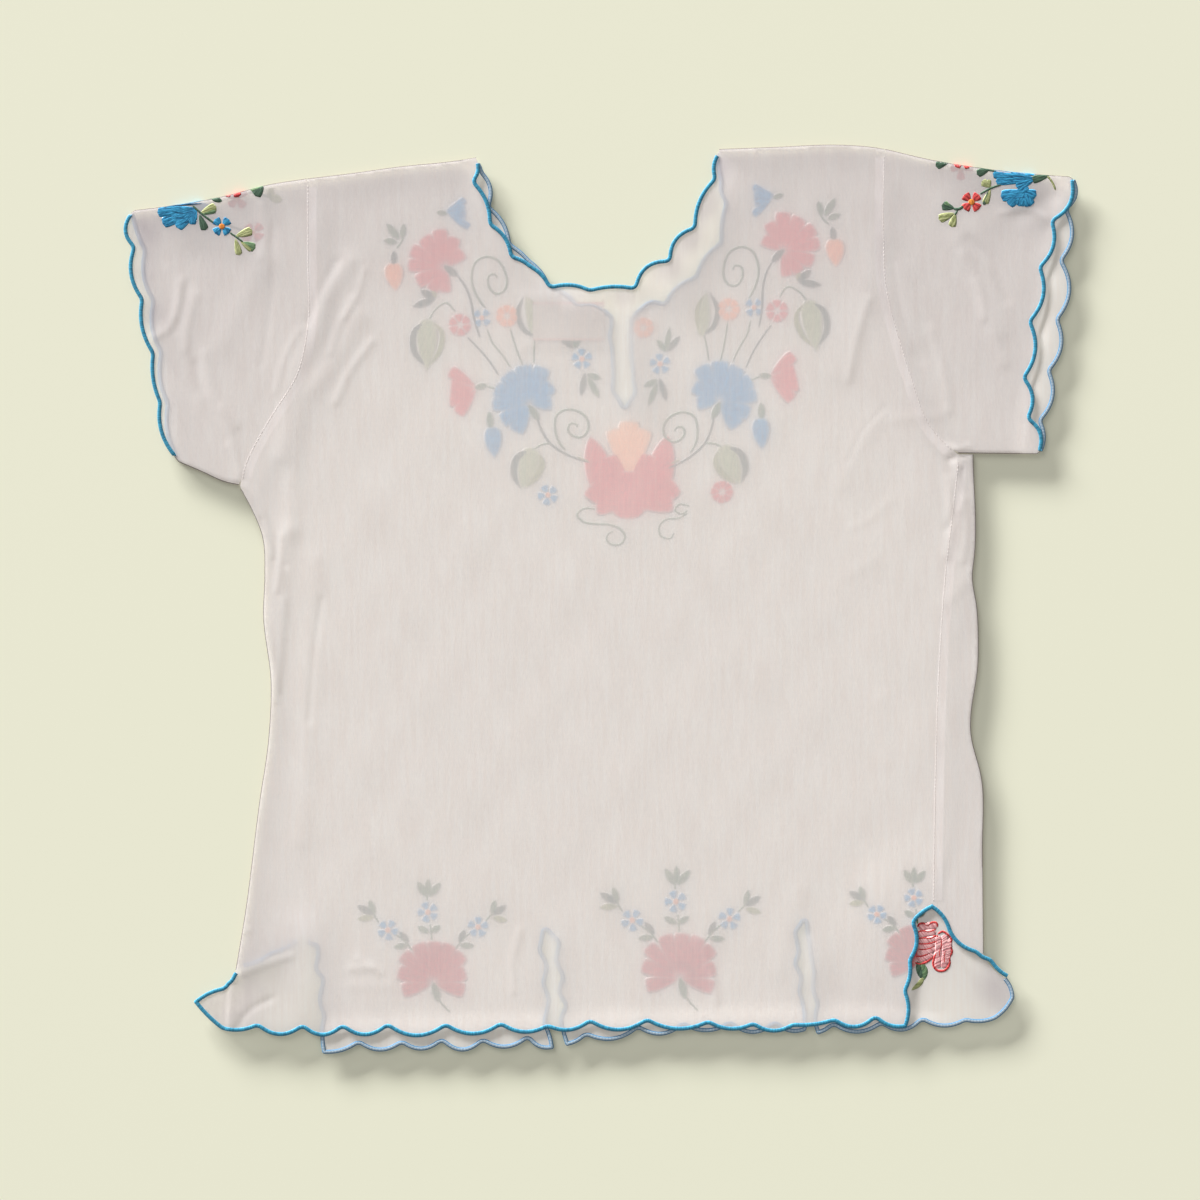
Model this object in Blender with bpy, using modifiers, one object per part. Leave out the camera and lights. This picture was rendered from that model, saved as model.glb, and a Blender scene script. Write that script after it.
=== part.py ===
# Embroidered blouse, laid flat with its back up and its neck toward +Y.
# The front lies under the back. The body is turned a little to the left on
# the table, so the front comes round the right side and shows up to the
# side seam, and the back goes round the left side and lies under.
# Lengths in this file are millimetres. Blender gets them in metres.
# x runs to the right from the middle of the back, y up from the back hem.

import math

import bmesh
import bpy
import numpy as np
from mathutils import Vector
from mathutils.geometry import delaunay_2d_cdt

METRE = 0.001
WALL = 1.0
SEAM_GAP = 0.3
LAYER_GAP = 0.5
LOWER_MID = WALL / 2
UPPER_MID = LOWER_MID + WALL + LAYER_GAP

# The worked edge is a band past the cloth's own edge.
EDGING_WIDTH = 1.6
EDGING_THICKNESS = 1.2
EDGING_GAP = 0.4
EDGING_STEP = 6.5

# The top layer stands higher beside each fold, where the cloth turns over.
FOLD_RISE = 1.6
FOLD_REACH = 14.0
FOLD_STEP = 20.0
ARMHOLE_STEP = 10.0
UNDERARM_TRIM = 5.0
SLEEVE_EASE = 0.15
FOLD_END_LIFT = 2.0
FOLD_RADIUS = (UPPER_MID + FOLD_RISE - LOWER_MID) / 2
TURN_STEPS = 4
LEAST_TURN_STEPS = 3

UPPER_GRID = 26.0
LOWER_GRID = 60.0
CREASE_STEP = 16.0
WELD_DISTANCE = 0.01
SHEET_TOLERANCE = 1e-4
EDGE_CLEARANCE = 6.0
POINT_CLEARANCE = 7.5
SLEEVE_STATIONS = 7
CREASE_POINTS = 9
CORNER_LIMIT = 1.2
FAR_AWAY = 1e9

# Where the back's corner tab has no layer under it, it sinks to the table.
TAB_SINK_REACH = 22.0
TAB_SINK_X = -206.0

LABEL_SIZE = (50.0, 27.0, 0.4)
LABEL_CENTRE = (-22.0, 494.0)
LABEL_RISE = 0.5
LABEL_SLOPE = 9.0
LABEL_MARGIN = 2.0
LABEL_RING = 3.0
LABEL_BEVEL = 0.12

# Worked edges: a row is a cusp (x, y) and how far the scallop that starts
# there swells past the straight line to the next cusp. Each run goes round
# its panel with the cloth on its left.
BACK_NECK = (
    (81.2, 610.8, 2.0),
    (79.1, 593.6, 4.0),
    (65.1, 560.0, 5.5),
    (47.6, 537.0, 6.5),
    (23.8, 518.0, 2.0),
    (-7.0, 516.6, 2.8),
    (-34.3, 518.7, 1.8),
    (-48.3, 533.4, 1.0),
    (-60.9, 539.7, 3.5),
    (-75.6, 562.1, 3.5),
    (-87.5, 591.5, 2.0),
    (-84.5, 605.2, 0.0),
)
FRONT_NECK = (
    (81.6, 610.8, 1.0),
    (83.8, 592.0, 2.0),
    (87.5, 576.8, 1.5),
    (84.0, 549.5, 3.0),
    (66.5, 525.5, 3.5),
    (44.8, 506.5, 3.0),
    (29.4, 505.0, 0.5),
    (21.0, 496.0, 0.6),
    (20.4, 478.0, 0.8),
    (22.0, 460.0, 0.8),
    (24.0, 444.5, 0.6),
    (17.5, 433.5, 0.6),
    (10.0, 445.5, 0.8),
    (10.5, 466.0, 0.8),
    (8.0, 483.0, 0.8),
    (9.5, 497.5, 0.8),
    (-4.2, 506.5, 0.5),
    (-16.1, 506.1, 2.8),
    (-34.3, 518.0, 2.0),
    (-49.0, 537.0, 0.8),
    (-62.3, 548.1, 3.5),
    (-77.0, 574.0, 4.2),
    (-81.9, 598.5, 0.5),
    (-84.5, 605.2, 0.0),
)
BACK_HEM = (
    (-258.0, 33.5, 0.8),
    (-262.5, 28.7, 1.8),
    (-284.2, 18.2, 1.0),
    (-264.6, -1.4, 2.5),
    (-239.4, 0.7, 6.3),
    (-207.9, 0.0, 6.3),
    (-179.9, 0.0, 6.5),
    (-148.4, 0.7, 7.5),
    (-107.8, 0.7, 6.6),
    (-69.3, 1.4, 5.0),
    (-36.4, 0.0, 4.6),
    (-7.0, 3.5, 6.6),
    (32.9, 4.2, 5.6),
    (75.6, 2.8, 4.2),
    (107.1, 1.4, 4.6),
    (135.1, 0.7, 1.5),
    (163.8, 4.2, 6.0),
    (192.5, 6.3, 3.0),
    (214.2, 0.0, 2.8),
    (214.2, 25.9, 2.0),
    (217.7, 46.9, 4.0),
    (219.8, 73.5, -1.2),
    (230.5, 82.0, 0.0),
)
FRONT_HEM = (
    (-206.0, 60.0, 1.5),
    (-198.6, 43.0, 1.5),
    (-196.6, 18.0, 1.5),
    (-193.9, -18.2, 2.5),
    (-168.7, -11.2, 5.6),
    (-138.6, -11.2, 5.6),
    (-110.6, -9.8, 7.0),
    (-81.9, -9.8, 6.0),
    (-50.4, -7.7, 3.5),
    (-32.2, -14.7, 1.0),
    (-36.4, 6.3, 1.6),
    (-37.5, 26.6, 1.6),
    (-38.8, 46.2, 1.0),
    (-35.0, 68.5, 0.6),
    (-28.5, 53.0, 1.2),
    (-25.9, 35.0, 1.8),
    (-24.1, 15.4, 2.0),
    (-23.8, -12.8, 1.5),
    (-9.8, -5.6, 6.0),
    (26.6, -0.7, 6.0),
    (58.1, 1.4, 5.0),
    (91.0, 2.1, 6.5),
    (122.5, 2.1, 3.5),
    (144.2, -2.1, 1.5),
    (141.1, 21.7, 1.6),
    (138.3, 40.6, 1.6),
    (138.2, 64.0, 0.6),
    (142.5, 77.5, 0.6),
    (147.6, 60.0, 1.4),
    (149.8, 37.5, 1.8),
    (151.6, 15.4, 1.8),
    (151.9, -4.9, 1.0),
    (163.1, 1.4, 6.0),
    (196.7, 2.1, 6.3),
    (225.4, 4.9, 4.6),
    (255.5, 4.2, 1.8),
    (276.5, 5.6, 1.5),
    (289.8, 21.0, 1.5),
    (283.5, 35.7, -1.2),
    (270.8, 47.5, 0.0),
)
LEFT_UNDER_VENT = (
    (-250.0, 41.5, 1.5),
    (-229.0, 50.5, 1.5),
    (-210.5, 60.0, 0.0),
)
RIGHT_OVER_VENT = (
    (233.5, 82.2, -2.4),
    (243.0, 67.5, 3.0),
    (262.5, 52.0, 0.0),
)

# Cuffs run from the sleeve's top fold down to the underarm.
LEFT_CUFF_UPPER = (
    (-329.5, 568.4, 4.8),
    (-326.9, 545.3, 5.0),
    (-321.3, 508.9, 4.0),
    (-313.6, 471.1, 2.6),
    (-308.7, 436.8, 4.5),
    (-298.6, 399.4, 0.0),
)
LEFT_CUFF_LOWER = (
    (-328.4, 568.1, 1.0),
    (-319.5, 543.0, 4.0),
    (-313.5, 508.0, 4.0),
    (-308.0, 472.0, 3.5),
    (-303.5, 436.0, 3.5),
    (-297.6, 399.0, 0.0),
)
RIGHT_CUFF_UPPER = (
    (331.2, 592.2, 6.0),
    (317.1, 563.5, 5.4),
    (308.7, 531.3, 6.0),
    (301.7, 493.5, 6.0),
    (297.5, 454.3, 4.8),
    (300.3, 426.3, 4.6),
    (308.6, 403.4, 0.0),
)
RIGHT_CUFF_LOWER = (
    (332.6, 592.0, 4.0),
    (326.9, 571.9, 6.2),
    (323.4, 536.2, 7.4),
    (320.6, 494.9, 6.0),
    (314.8, 459.2, 6.0),
    (308.6, 424.2, 2.5),
    (309.6, 403.3, 0.0),
)

# Folds as seen from above, the outermost line of the cloth (x, y).
LEFT_SHOULDER = (
    (-86.7, 608.3),
    (-100.0, 606.2),
    (-140.0, 602.0),
    (-175.7, 597.1),
    (-204.7, 593.6),
)
RIGHT_SHOULDER = (
    (199.1, 614.3),
    (187.6, 616.0),
    (167.3, 617.2),
    (120.4, 615.6),
    (83.5, 614.2),
)
LEFT_SLEEVE_TOP = (
    (-205.4, 593.5),
    (-229.6, 589.8),
    (-264.3, 581.0),
    (-296.8, 575.1),
    (-329.6, 571.0),
)
RIGHT_SLEEVE_TOP = (
    (199.8, 614.2),
    (231.0, 606.9),
    (280.0, 599.2),
    (333.0, 594.4),
)
LEFT_UNDERARM = (
    (-252.6, 379.3),
    (-260.4, 380.8),
    (-280.0, 389.2),
    (-298.2, 396.9),
)
RIGHT_UNDERARM = (
    (250.4, 401.6),
    (280.0, 401.2),
    (309.5, 400.9),
)
LEFT_SIDE = (
    (-251.3, 376.4),
    (-242.9, 360.5),
    (-236.4, 344.0),
    (-234.6, 316.0),
    (-235.6, 290.0),
    (-230.2, 240.0),
    (-232.0, 201.0),
    (-238.2, 158.0),
    (-248.4, 79.0),
    (-254.8, 40.5),
)
RIGHT_SIDE = (
    (261.1, 400.7),
    (261.8, 327.0),
    (260.6, 317.5),
    (263.9, 292.0),
    (264.6, 257.0),
    (259.6, 205.5),
    (267.2, 173.0),
    (267.6, 124.0),
    (268.1, 52.0),
)

# Seams where two pieces meet in one layer (x, y).
LEFT_ARMHOLE = (
    (-205.1, 593.6),
    (-205.1, 540.0),
    (-205.3, 488.0),
    (-212.8, 456.4),
    (-229.6, 429.1),
    (-241.6, 408.5),
    (-248.4, 393.8),
    (-251.6, 378.6),
)
RIGHT_ARMHOLE = (
    (199.5, 614.3),
    (199.0, 551.0),
    (201.0, 516.0),
    (208.0, 488.0),
    (217.5, 457.0),
    (232.0, 420.0),
    (243.0, 407.6),
    (250.0, 400.9),
)
LEFT_SIDE_SEAM = (
    (-248.4, 377.0),
    (-214.0, 340.0),
    (-198.0, 299.0),
    (-204.0, 229.0),
    (-208.0, 159.0),
    (-209.0, 89.0),
    (-208.2, 61.0),
)
RIGHT_SIDE_SEAM = (
    (250.0, 400.8),
    (248.5, 386.4),
    (245.0, 355.0),
    (241.5, 327.0),
    (238.0, 285.0),
    (235.0, 229.0),
    (233.4, 170.0),
    (232.6, 120.0),
    (232.0, 83.0),
)

# Main creases of the top layer: start, middle, end, height and half width.
CREASES = (
    (-178.5, 531.0, -210.0, 467.0, -223.0, 400.0, 4.0, 8.0),
    (-173.5, 493.5, -209.0, 424.0, -214.0, 350.0, 3.4, 8.0),
    (-214.0, 350.0, -222.0, 298.0, -227.0, 250.0, 2.2, 7.0),
    (-278.0, 437.5, -266.0, 415.0, -258.0, 394.0, 2.6, 7.0),
    (-232.0, 535.5, -250.0, 509.0, -265.0, 477.0, 1.6, 9.0),
    (-199.0, 327.0, -204.0, 229.0, -208.0, 131.0, 0.9, 7.0),
    (194.5, 551.0, 183.5, 502.0, 169.5, 456.5, 2.2, 9.0),
    (248.5, 547.5, 269.5, 505.5, 282.0, 465.5, 2.8, 9.0),
    (194.0, 425.0, 179.0, 405.5, 168.5, 379.5, 1.8, 7.0),
    (250.0, 394.0, 245.7, 369.0, 244.0, 335.0, 1.5, 6.0),
    (259.0, 316.0, 250.5, 307.0, 240.0, 297.0, 1.5, 6.0),
    (140.0, 96.0, 133.0, 71.5, 124.5, 40.0, 1.2, 9.0),
    (-258.0, 27.0, -260.4, 15.4, -258.3, 4.0, 1.6, 6.0),
    (-206.0, 41.0, -232.0, 34.0, -250.0, 29.5, 1.3, 7.0),
)

CLOTH_WHITE = (0.76, 0.72, 0.68, 1.0)
EDGING_BLUE = (0.03, 0.28, 0.48, 1.0)
LABEL_PINK = (0.74, 0.60, 0.56, 1.0)


def clear_scene():
    for item in list(bpy.data.objects):
        bpy.data.objects.remove(item)


def cloth_material(name, colour, roughness):
    """A woven or stitched finish: no metal, rough."""
    material = bpy.data.materials.new(name)
    material.use_nodes = True
    shader = material.node_tree.nodes["Principled BSDF"]
    shader.inputs["Base Color"].default_value = colour
    shader.inputs["Roughness"].default_value = roughness
    shader.inputs["Metallic"].default_value = 0.0
    return material


def scalloped(rows, outward=1.0):
    """Points along a worked edge, a parabola on each chord.

    The scallops swell to the right of the way the rows run, or to the
    left with outward at -1.
    """
    points = []
    for (x0, y0, swell), (x1, y1, _) in zip(rows, rows[1:]):
        length = math.hypot(x1 - x0, y1 - y0)
        steps = max(2, round(length / EDGING_STEP))
        side = np.array(((y1 - y0) / length, (x0 - x1) / length)) * outward
        for k in range(steps):
            t = k / steps
            chord = np.array((x0 + (x1 - x0) * t, y0 + (y1 - y0) * t))
            points.append(chord + side * swell * 4 * t * (1 - t))
    points.append(np.array(rows[-1][:2]))
    return np.array(points)


def smooth_line(rows, step):
    """Points every step or so on a smooth curve through the rows."""
    knots = np.array(rows, dtype=float)
    spans = np.hypot(*np.diff(knots, axis=0).T)
    places = np.concatenate(([0.0], np.cumsum(spans)))
    tangents = np.gradient(knots, places, axis=0)
    points = []
    for k, span in enumerate(spans):
        count = max(1, round(span / step))
        t = (np.arange(count) / count)[:, None]
        points.append(
            (2 * t**3 - 3 * t**2 + 1) * knots[k]
            + (t**3 - 2 * t**2 + t) * span * tangents[k]
            + (3 * t**2 - 2 * t**3) * knots[k + 1]
            + (t**3 - t**2) * span * tangents[k + 1]
        )
    points.append(knots[-1:])
    return np.vstack(points)


def resampled(points, count, start_trim, end_trim):
    """The same line with count points at even distances, with a little
    left out at each end."""
    places = np.concatenate(([0.0], np.cumsum(np.hypot(*np.diff(points, axis=0).T))))
    wanted = np.linspace(start_trim, places[-1] - end_trim, count)
    return np.column_stack([np.interp(wanted, places, points[:, k]) for k in (0, 1)])


def right_normals(points):
    """Unit normals on the right of the line, longer at corners so that a
    line moved along them keeps its distance."""
    steps = np.diff(points, axis=0)
    steps /= np.hypot(*steps.T)[:, None]
    sides = np.column_stack((steps[:, 1], -steps[:, 0]))
    before = np.vstack((sides[:1], sides))
    after = np.vstack((sides, sides[-1:]))
    middle = before + after
    return 2 * middle / np.maximum((middle**2).sum(axis=1), CORNER_LIMIT)[:, None]


def moved_right(points, distance):
    return points + right_normals(points) * distance


def distance_to_line(points, line):
    """Distance from each point to a line of straight pieces."""
    best = np.full(len(points), FAR_AWAY)
    for a, b in zip(line, line[1:]):
        span = b - a
        t = np.clip((points - a) @ span / (span @ span), 0.0, 1.0)
        best = np.minimum(best, np.hypot(*(points - a - t[:, None] * span).T))
    return best


def smooth_step(values):
    t = np.clip(values, 0.0, 1.0)
    return t * t * (3 - 2 * t)


def crease_line(row, count):
    """Points on the curve through a crease's start, middle and end."""
    start, middle, end = np.array(row[:6]).reshape(3, 2)
    control = 2 * middle - (start + end) / 2
    t = np.linspace(0.0, 1.0, count)[:, None]
    return (1 - t)**2 * start + 2 * t * (1 - t) * control + t**2 * end


FOLD_LINES = [
    smooth_line(rows, FOLD_STEP)
    for rows in (
        LEFT_SHOULDER, RIGHT_SHOULDER, LEFT_SLEEVE_TOP, RIGHT_SLEEVE_TOP,
        LEFT_UNDERARM, RIGHT_UNDERARM, LEFT_SIDE, RIGHT_SIDE,
    )
]


def upper_height(points):
    """Height of the middle of the top layer's cloth above the table."""
    points = np.atleast_2d(points)
    height = np.full(len(points), UPPER_MID)
    near_fold = np.min([distance_to_line(points, line) for line in FOLD_LINES], axis=0)
    height += FOLD_RISE * np.exp(-(near_fold / FOLD_REACH)**2)
    for row in CREASES:
        rise, half_width = row[6:]
        away = distance_to_line(points, crease_line(row, CREASE_POINTS))
        height += rise * np.exp(-(away / half_width)**2)
    half = np.array(LABEL_SIZE[:2]) / 2 + LABEL_MARGIN
    out = (np.abs(points - np.array(LABEL_CENTRE)) - half).max(axis=1)
    height += LABEL_RISE * smooth_step(1 - out / LABEL_SLOPE)
    (vent_x, vent_y, _), _, (apex_x, apex_y, _) = LEFT_UNDER_VENT
    slope = (apex_y - vent_y) / (apex_x - vent_x)
    below_vent = vent_y + (points[:, 0] - vent_x) * slope - points[:, 1]
    inside = np.minimum(below_vent, TAB_SINK_X - points[:, 0]) / TAB_SINK_REACH
    return height + (LOWER_MID - height) * smooth_step(inside)


def lower_height(points):
    return np.full(len(np.atleast_2d(points)), LOWER_MID)


def inside_outline(points, outline):
    """Which points lie inside a closed outline, by crossings to the right."""
    a = outline
    b = np.roll(outline, -1, axis=0)
    x, y = points[:, :1], points[:, 1:]
    spans = (a[:, 1] > y) != (b[:, 1] > y)
    rise = np.where(b[:, 1] == a[:, 1], 1.0, b[:, 1] - a[:, 1])
    crossing = a[:, 0] + (y - a[:, 1]) * (b[:, 0] - a[:, 0]) / rise
    return (spans & (x < crossing)).sum(axis=1) % 2 == 1


def label_outline(margin):
    """Eight points round the label, a margin outside its edge."""
    half = np.array(LABEL_SIZE[:2]) / 2 + margin
    corners = [(x, y) for x in (-1, 0, 1) for y in (-1, 0, 1) if x or y]
    return np.array(LABEL_CENTRE) + np.array(corners) * half


def inner_points(outline, spacing, creases):
    """Points inside a sheet: rows along its creases, then an even grid."""
    wanted = []
    if creases:
        wanted += [label_outline(LABEL_RING), label_outline(LABEL_SLOPE + LABEL_RING)]
    for row in creases:
        length = math.hypot(row[4] - row[0], row[5] - row[1])
        ridge = crease_line(row, max(3, round(length / CREASE_STEP) + 1))
        for shift in (0.0, -row[7], row[7]):
            wanted.append(moved_right(ridge, shift))
    low, high = outline.min(axis=0), outline.max(axis=0)
    xs = np.arange(low[0] + spacing / 2, high[0], spacing)
    ys = np.arange(low[1] + spacing / 2, high[1], spacing)
    wanted.append(np.stack(np.meshgrid(xs, ys), axis=-1).reshape(-1, 2))
    candidates = np.vstack(wanted)
    edge = np.vstack((outline, outline[:1]))
    good = inside_outline(candidates, outline)
    good &= distance_to_line(candidates, edge) > EDGE_CLEARANCE
    kept = []
    for point in candidates[good]:
        if all(math.dist(point, other) > POINT_CLEARANCE for other in kept):
            kept.append(point)
    return np.array(kept).reshape(-1, 2)


def add_sheet(surface, outline, height, spacing, creases=()):
    """One flat-lying sheet of cloth inside an outline, at a height."""
    points = np.vstack((outline, inner_points(outline, spacing, creases)))
    count = len(outline)
    edges = [(k, (k + 1) % count) for k in range(count)]
    flat, _, faces, _, _, _ = delaunay_2d_cdt(
        [Vector(point) for point in points], edges, [], 1, SHEET_TOLERANCE
    )
    flat = np.array([tuple(point) for point in flat])
    corners = [
        surface.verts.new((x * METRE, y * METRE, z * METRE))
        for (x, y), z in zip(flat, height(flat))
    ]
    for face in faces:
        surface.faces.new([corners[k] for k in face])


def turn_points(edge, normals, top, start, end):
    """Rows of points round a fold: a part of the half circle that joins
    the top layer at angle 0 to the under layer at angle pi."""
    radius = (top - LOWER_MID) / 2
    middle = (top + LOWER_MID) / 2
    steps = max(LEAST_TURN_STEPS, round(TURN_STEPS * abs(end - start) / math.pi))
    rows = []
    for angle in np.linspace(start, end, steps + 1):
        outward = normals * (radius * math.sin(angle))[:, None]
        rows.append(np.column_stack((edge + outward, middle + radius * math.cos(angle))))
    return rows


def add_band(surface, rows, closed=False):
    """Quads between rows of points, each row a line along the band."""
    grid = [
        [surface.verts.new(tuple(point * METRE)) for point in row]
        for row in rows
    ]
    for first, second in zip(grid, grid[1:]):
        last = len(first) if closed else len(first) - 1
        for k in range(last):
            after = (k + 1) % len(first)
            surface.faces.new((first[k], first[after], second[after], second[k]))


def add_turn(surface, edge, normals, start, end):
    add_band(surface, turn_points(edge, normals, upper_height(edge), start, end))


def object_from(surface, name, thickness, material, collection):
    """Weld the surface, give it its thickness and name it."""
    bmesh.ops.remove_doubles(surface, verts=surface.verts, dist=WELD_DISTANCE * METRE)
    bmesh.ops.recalc_face_normals(surface, faces=surface.faces)
    mesh = bpy.data.meshes.new(name)
    surface.to_mesh(mesh)
    surface.free()
    mesh.shade_smooth()
    item = bpy.data.objects.new(name, mesh)
    item.data.materials.append(material)
    collection.objects.link(item)
    wall = item.modifiers.new("Cloth", "SOLIDIFY")
    wall.thickness = thickness * METRE
    wall.offset = 0.0
    wall.use_even_offset = True
    return item


def fold_edge(rows, inward):
    """The line where a sheet starts to turn over at a fold, and the
    direction outward. inward is 1 where the cloth lies on the left."""
    line = smooth_line(rows, FOLD_STEP)
    outward = right_normals(line) * inward
    return line - outward * (FOLD_RADIUS + WALL / 2), outward


def worked_edge(rows, outward=1.0):
    """A run of scallops as three lines: the cloth's edge, and the inner
    and outer edges of the worked band."""
    outer = scalloped(rows, outward)
    sides = right_normals(outer) * outward
    corners = np.array(rows)[:, :2]
    sides[0] = right_normals(corners[:2])[0] * outward
    sides[-1] = right_normals(corners[-2:])[0] * outward
    inner = outer - sides * EDGING_WIDTH
    cloth = inner - sides * EDGING_GAP
    return cloth, inner, outer


def with_height(line, height):
    return np.column_stack((line, height(line)))


def make_edging(name, rows, height, material, collection):
    """A worked edge that stays in one layer."""
    _, inner, outer = worked_edge(rows)
    surface = bmesh.new()
    lift = np.array((0.0, 0.0, (EDGING_THICKNESS - WALL) / 2))
    add_band(surface, [with_height(line, height) + lift for line in (inner, outer)])
    return object_from(surface, name, EDGING_THICKNESS, material, collection)


def seam_edge(rows, step, side):
    """One side of a seam, half a gap to the right or left of its line."""
    return moved_right(smooth_line(rows, step), side * SEAM_GAP / 2)


def quarter_limits():
    """Angles where two pieces meet at the outside of a shoulder fold."""
    half_gap = SEAM_GAP / FOLD_RADIUS
    return math.pi / 2 - half_gap, math.pi / 2 + half_gap


def body_sides():
    """Seams and folds that the front and the back share, each with the
    direction outward where it is a fold."""
    left_side, left_out = fold_edge(LEFT_SIDE, 1.0)
    left_side[-1] += (0.0, FOLD_END_LIFT)
    right_side, right_out = fold_edge(RIGHT_SIDE, -1.0)
    left_shoulder, left_up = fold_edge(LEFT_SHOULDER, 1.0)
    right_shoulder, right_up = fold_edge(RIGHT_SHOULDER, 1.0)
    return {
        "left side": (left_side, left_out * (1.0, 0.0)),
        "right side": (right_side, right_out * (1.0, 0.0)),
        "left shoulder": (left_shoulder, left_up * (0.0, 1.0)),
        "right shoulder": (right_shoulder, right_up * (0.0, 1.0)),
    }


def make_body(cloth, collection):
    """The front and the back, each in its two layers."""
    sides = body_sides()
    left_side, left_out = sides["left side"]
    right_side, right_out = sides["right side"]
    left_shoulder, left_up = sides["left shoulder"]
    right_shoulder, right_up = sides["right shoulder"]
    back_limit, front_limit = quarter_limits()
    right_armhole = seam_edge(RIGHT_ARMHOLE, ARMHOLE_STEP, 1.0)[1:][::-1]
    left_armhole = seam_edge(LEFT_ARMHOLE, ARMHOLE_STEP, -1.0)[1:]

    back = bmesh.new()
    back_neck = worked_edge(BACK_NECK)[0]
    back_hem = worked_edge(BACK_HEM)[0]
    right_seam = seam_edge(RIGHT_SIDE_SEAM, FOLD_STEP, 1.0)[::-1]
    top_outline = np.vstack((
        back_hem, right_seam[1:], right_armhole, right_shoulder, back_neck,
        left_shoulder, left_armhole, left_side,
    ))
    add_sheet(back, top_outline, upper_height, UPPER_GRID, CREASES)
    for edge, outward in ((left_shoulder, left_up), (right_shoulder, right_up)):
        add_turn(back, edge, outward, 0.0, back_limit)
    add_turn(back, left_side, left_out, 0.0, math.pi)
    left_seam = seam_edge(LEFT_SIDE_SEAM, FOLD_STEP, 1.0)[::-1]
    under_vent = worked_edge(LEFT_UNDER_VENT)[0]
    under_outline = np.vstack((under_vent, left_seam[1:-1], left_side))
    add_sheet(back, under_outline, lower_height, LOWER_GRID)
    object_from(back, "back", WALL, cloth, collection)

    front = bmesh.new()
    front_neck = worked_edge(FRONT_NECK)[0]
    front_hem = worked_edge(FRONT_HEM)[0]
    left_front_seam = seam_edge(LEFT_SIDE_SEAM, FOLD_STEP, -1.0)[:-1]
    lower_outline = np.vstack((
        front_hem, right_side[::-1], right_armhole, right_shoulder, front_neck,
        left_shoulder, left_armhole, left_front_seam,
    ))
    add_sheet(front, lower_outline, lower_height, LOWER_GRID)
    for edge, outward in ((left_shoulder, left_up), (right_shoulder, right_up)):
        add_turn(front, edge, outward, front_limit, math.pi)
    add_turn(front, right_side, right_out, 0.0, math.pi)
    over_vent = worked_edge(RIGHT_OVER_VENT)[0]
    right_front_seam = seam_edge(RIGHT_SIDE_SEAM, FOLD_STEP, -1.0)[:-1]
    over_outline = np.vstack((over_vent, right_side[::-1], right_front_seam))
    add_sheet(front, over_outline, upper_height, UPPER_GRID, CREASES)
    object_from(front, "front", WALL, cloth, collection)


def tube_ring(upper, lower, top_out, under_out):
    """A closed ring round a flattened sleeve: down the top layer, round
    the underarm fold, back up the under layer and round the top fold."""
    high = upper_height(upper)
    rows = [np.column_stack((upper, high))]
    for end, outward, angles in (
        (-1, under_out, np.linspace(0.0, math.pi, TURN_STEPS + 1)[1:-1]),
        (0, top_out, np.linspace(math.pi, 0.0, TURN_STEPS + 1)[1:-1]),
    ):
        radius = (high[end] - LOWER_MID) / 2
        middle = (high[end] + LOWER_MID) / 2
        turn = []
        for angle in angles:
            share = angle / math.pi
            place = upper[end] * (1 - share) + lower[end] * share
            place = place + outward * radius * math.sin(angle)
            turn.append((*place, middle + radius * math.cos(angle)))
        rows.append(np.array(turn))
        if end == -1:
            rows.append(np.column_stack((lower, lower_height(lower)))[::-1])
    return np.vstack(rows)


def between(start, end, top, under, share):
    """A line across the sleeve, from its top fold to its underarm, at a
    share of the way from the armhole to the cuff."""
    t = np.linspace(0.0, 1.0, len(start))[:, None]
    line = start + (end - start) * share
    return line + (1 - t) * (top - line[0]) + t * (under - line[-1])


def at_share(rows, share):
    """A row of evenly spaced values at a share of the way along them."""
    places = np.linspace(0.0, 1.0, len(rows))
    return np.array([np.interp(share, places, rows[:, k]) for k in (0, 1)])


def make_sleeve(side, armhole, top, underarm, cuff_upper, cuff_lower, outward,
                cloth, edging, collection):
    """A flattened tube from the armhole to the cuff, and its worked edge."""
    top_edge, top_out = fold_edge(top, outward)
    under_edge, under_out = fold_edge(underarm, -outward)
    edges = [worked_edge(rows, outward) for rows in (cuff_upper, cuff_lower)]
    seam = moved_right(seam_edge(armhole, ARMHOLE_STEP, outward), outward * SLEEVE_EASE)
    trims = FOLD_RADIUS + WALL / 2, UNDERARM_TRIM
    starts = [
        np.vstack((resampled(seam, len(lines[0]) - 1, *trims), under_edge[:1]))
        for lines in edges
    ]
    stations = []
    for share in np.linspace(0.0, 1.0, SLEEVE_STATIONS):
        lines = [
            between(
                start, lines[0],
                at_share(np.vstack((start[:1], top_edge[1:-1], lines[0][:1])), share),
                at_share(np.vstack((start[-1:], under_edge[1:-1], lines[0][-1:])), share),
                share,
            )
            for start, lines in zip(starts, edges)
        ]
        ends = at_share(top_out, share), at_share(under_out, share)
        stations.append(tube_ring(*lines, *ends))
    surface = bmesh.new()
    add_band(surface, stations, closed=True)
    object_from(surface, "sleeve_" + side, WALL, cloth, collection)
    lift = np.array((0.0, 0.0, (EDGING_THICKNESS - WALL) / 2))
    band = [
        tube_ring(edges[0][k], edges[1][k], top_out[-1], under_out[-1]) + lift
        for k in (1, 2)
    ]
    surface = bmesh.new()
    add_band(surface, band, closed=True)
    object_from(surface, "cuff_edging_" + side, EDGING_THICKNESS, edging, collection)


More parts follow.
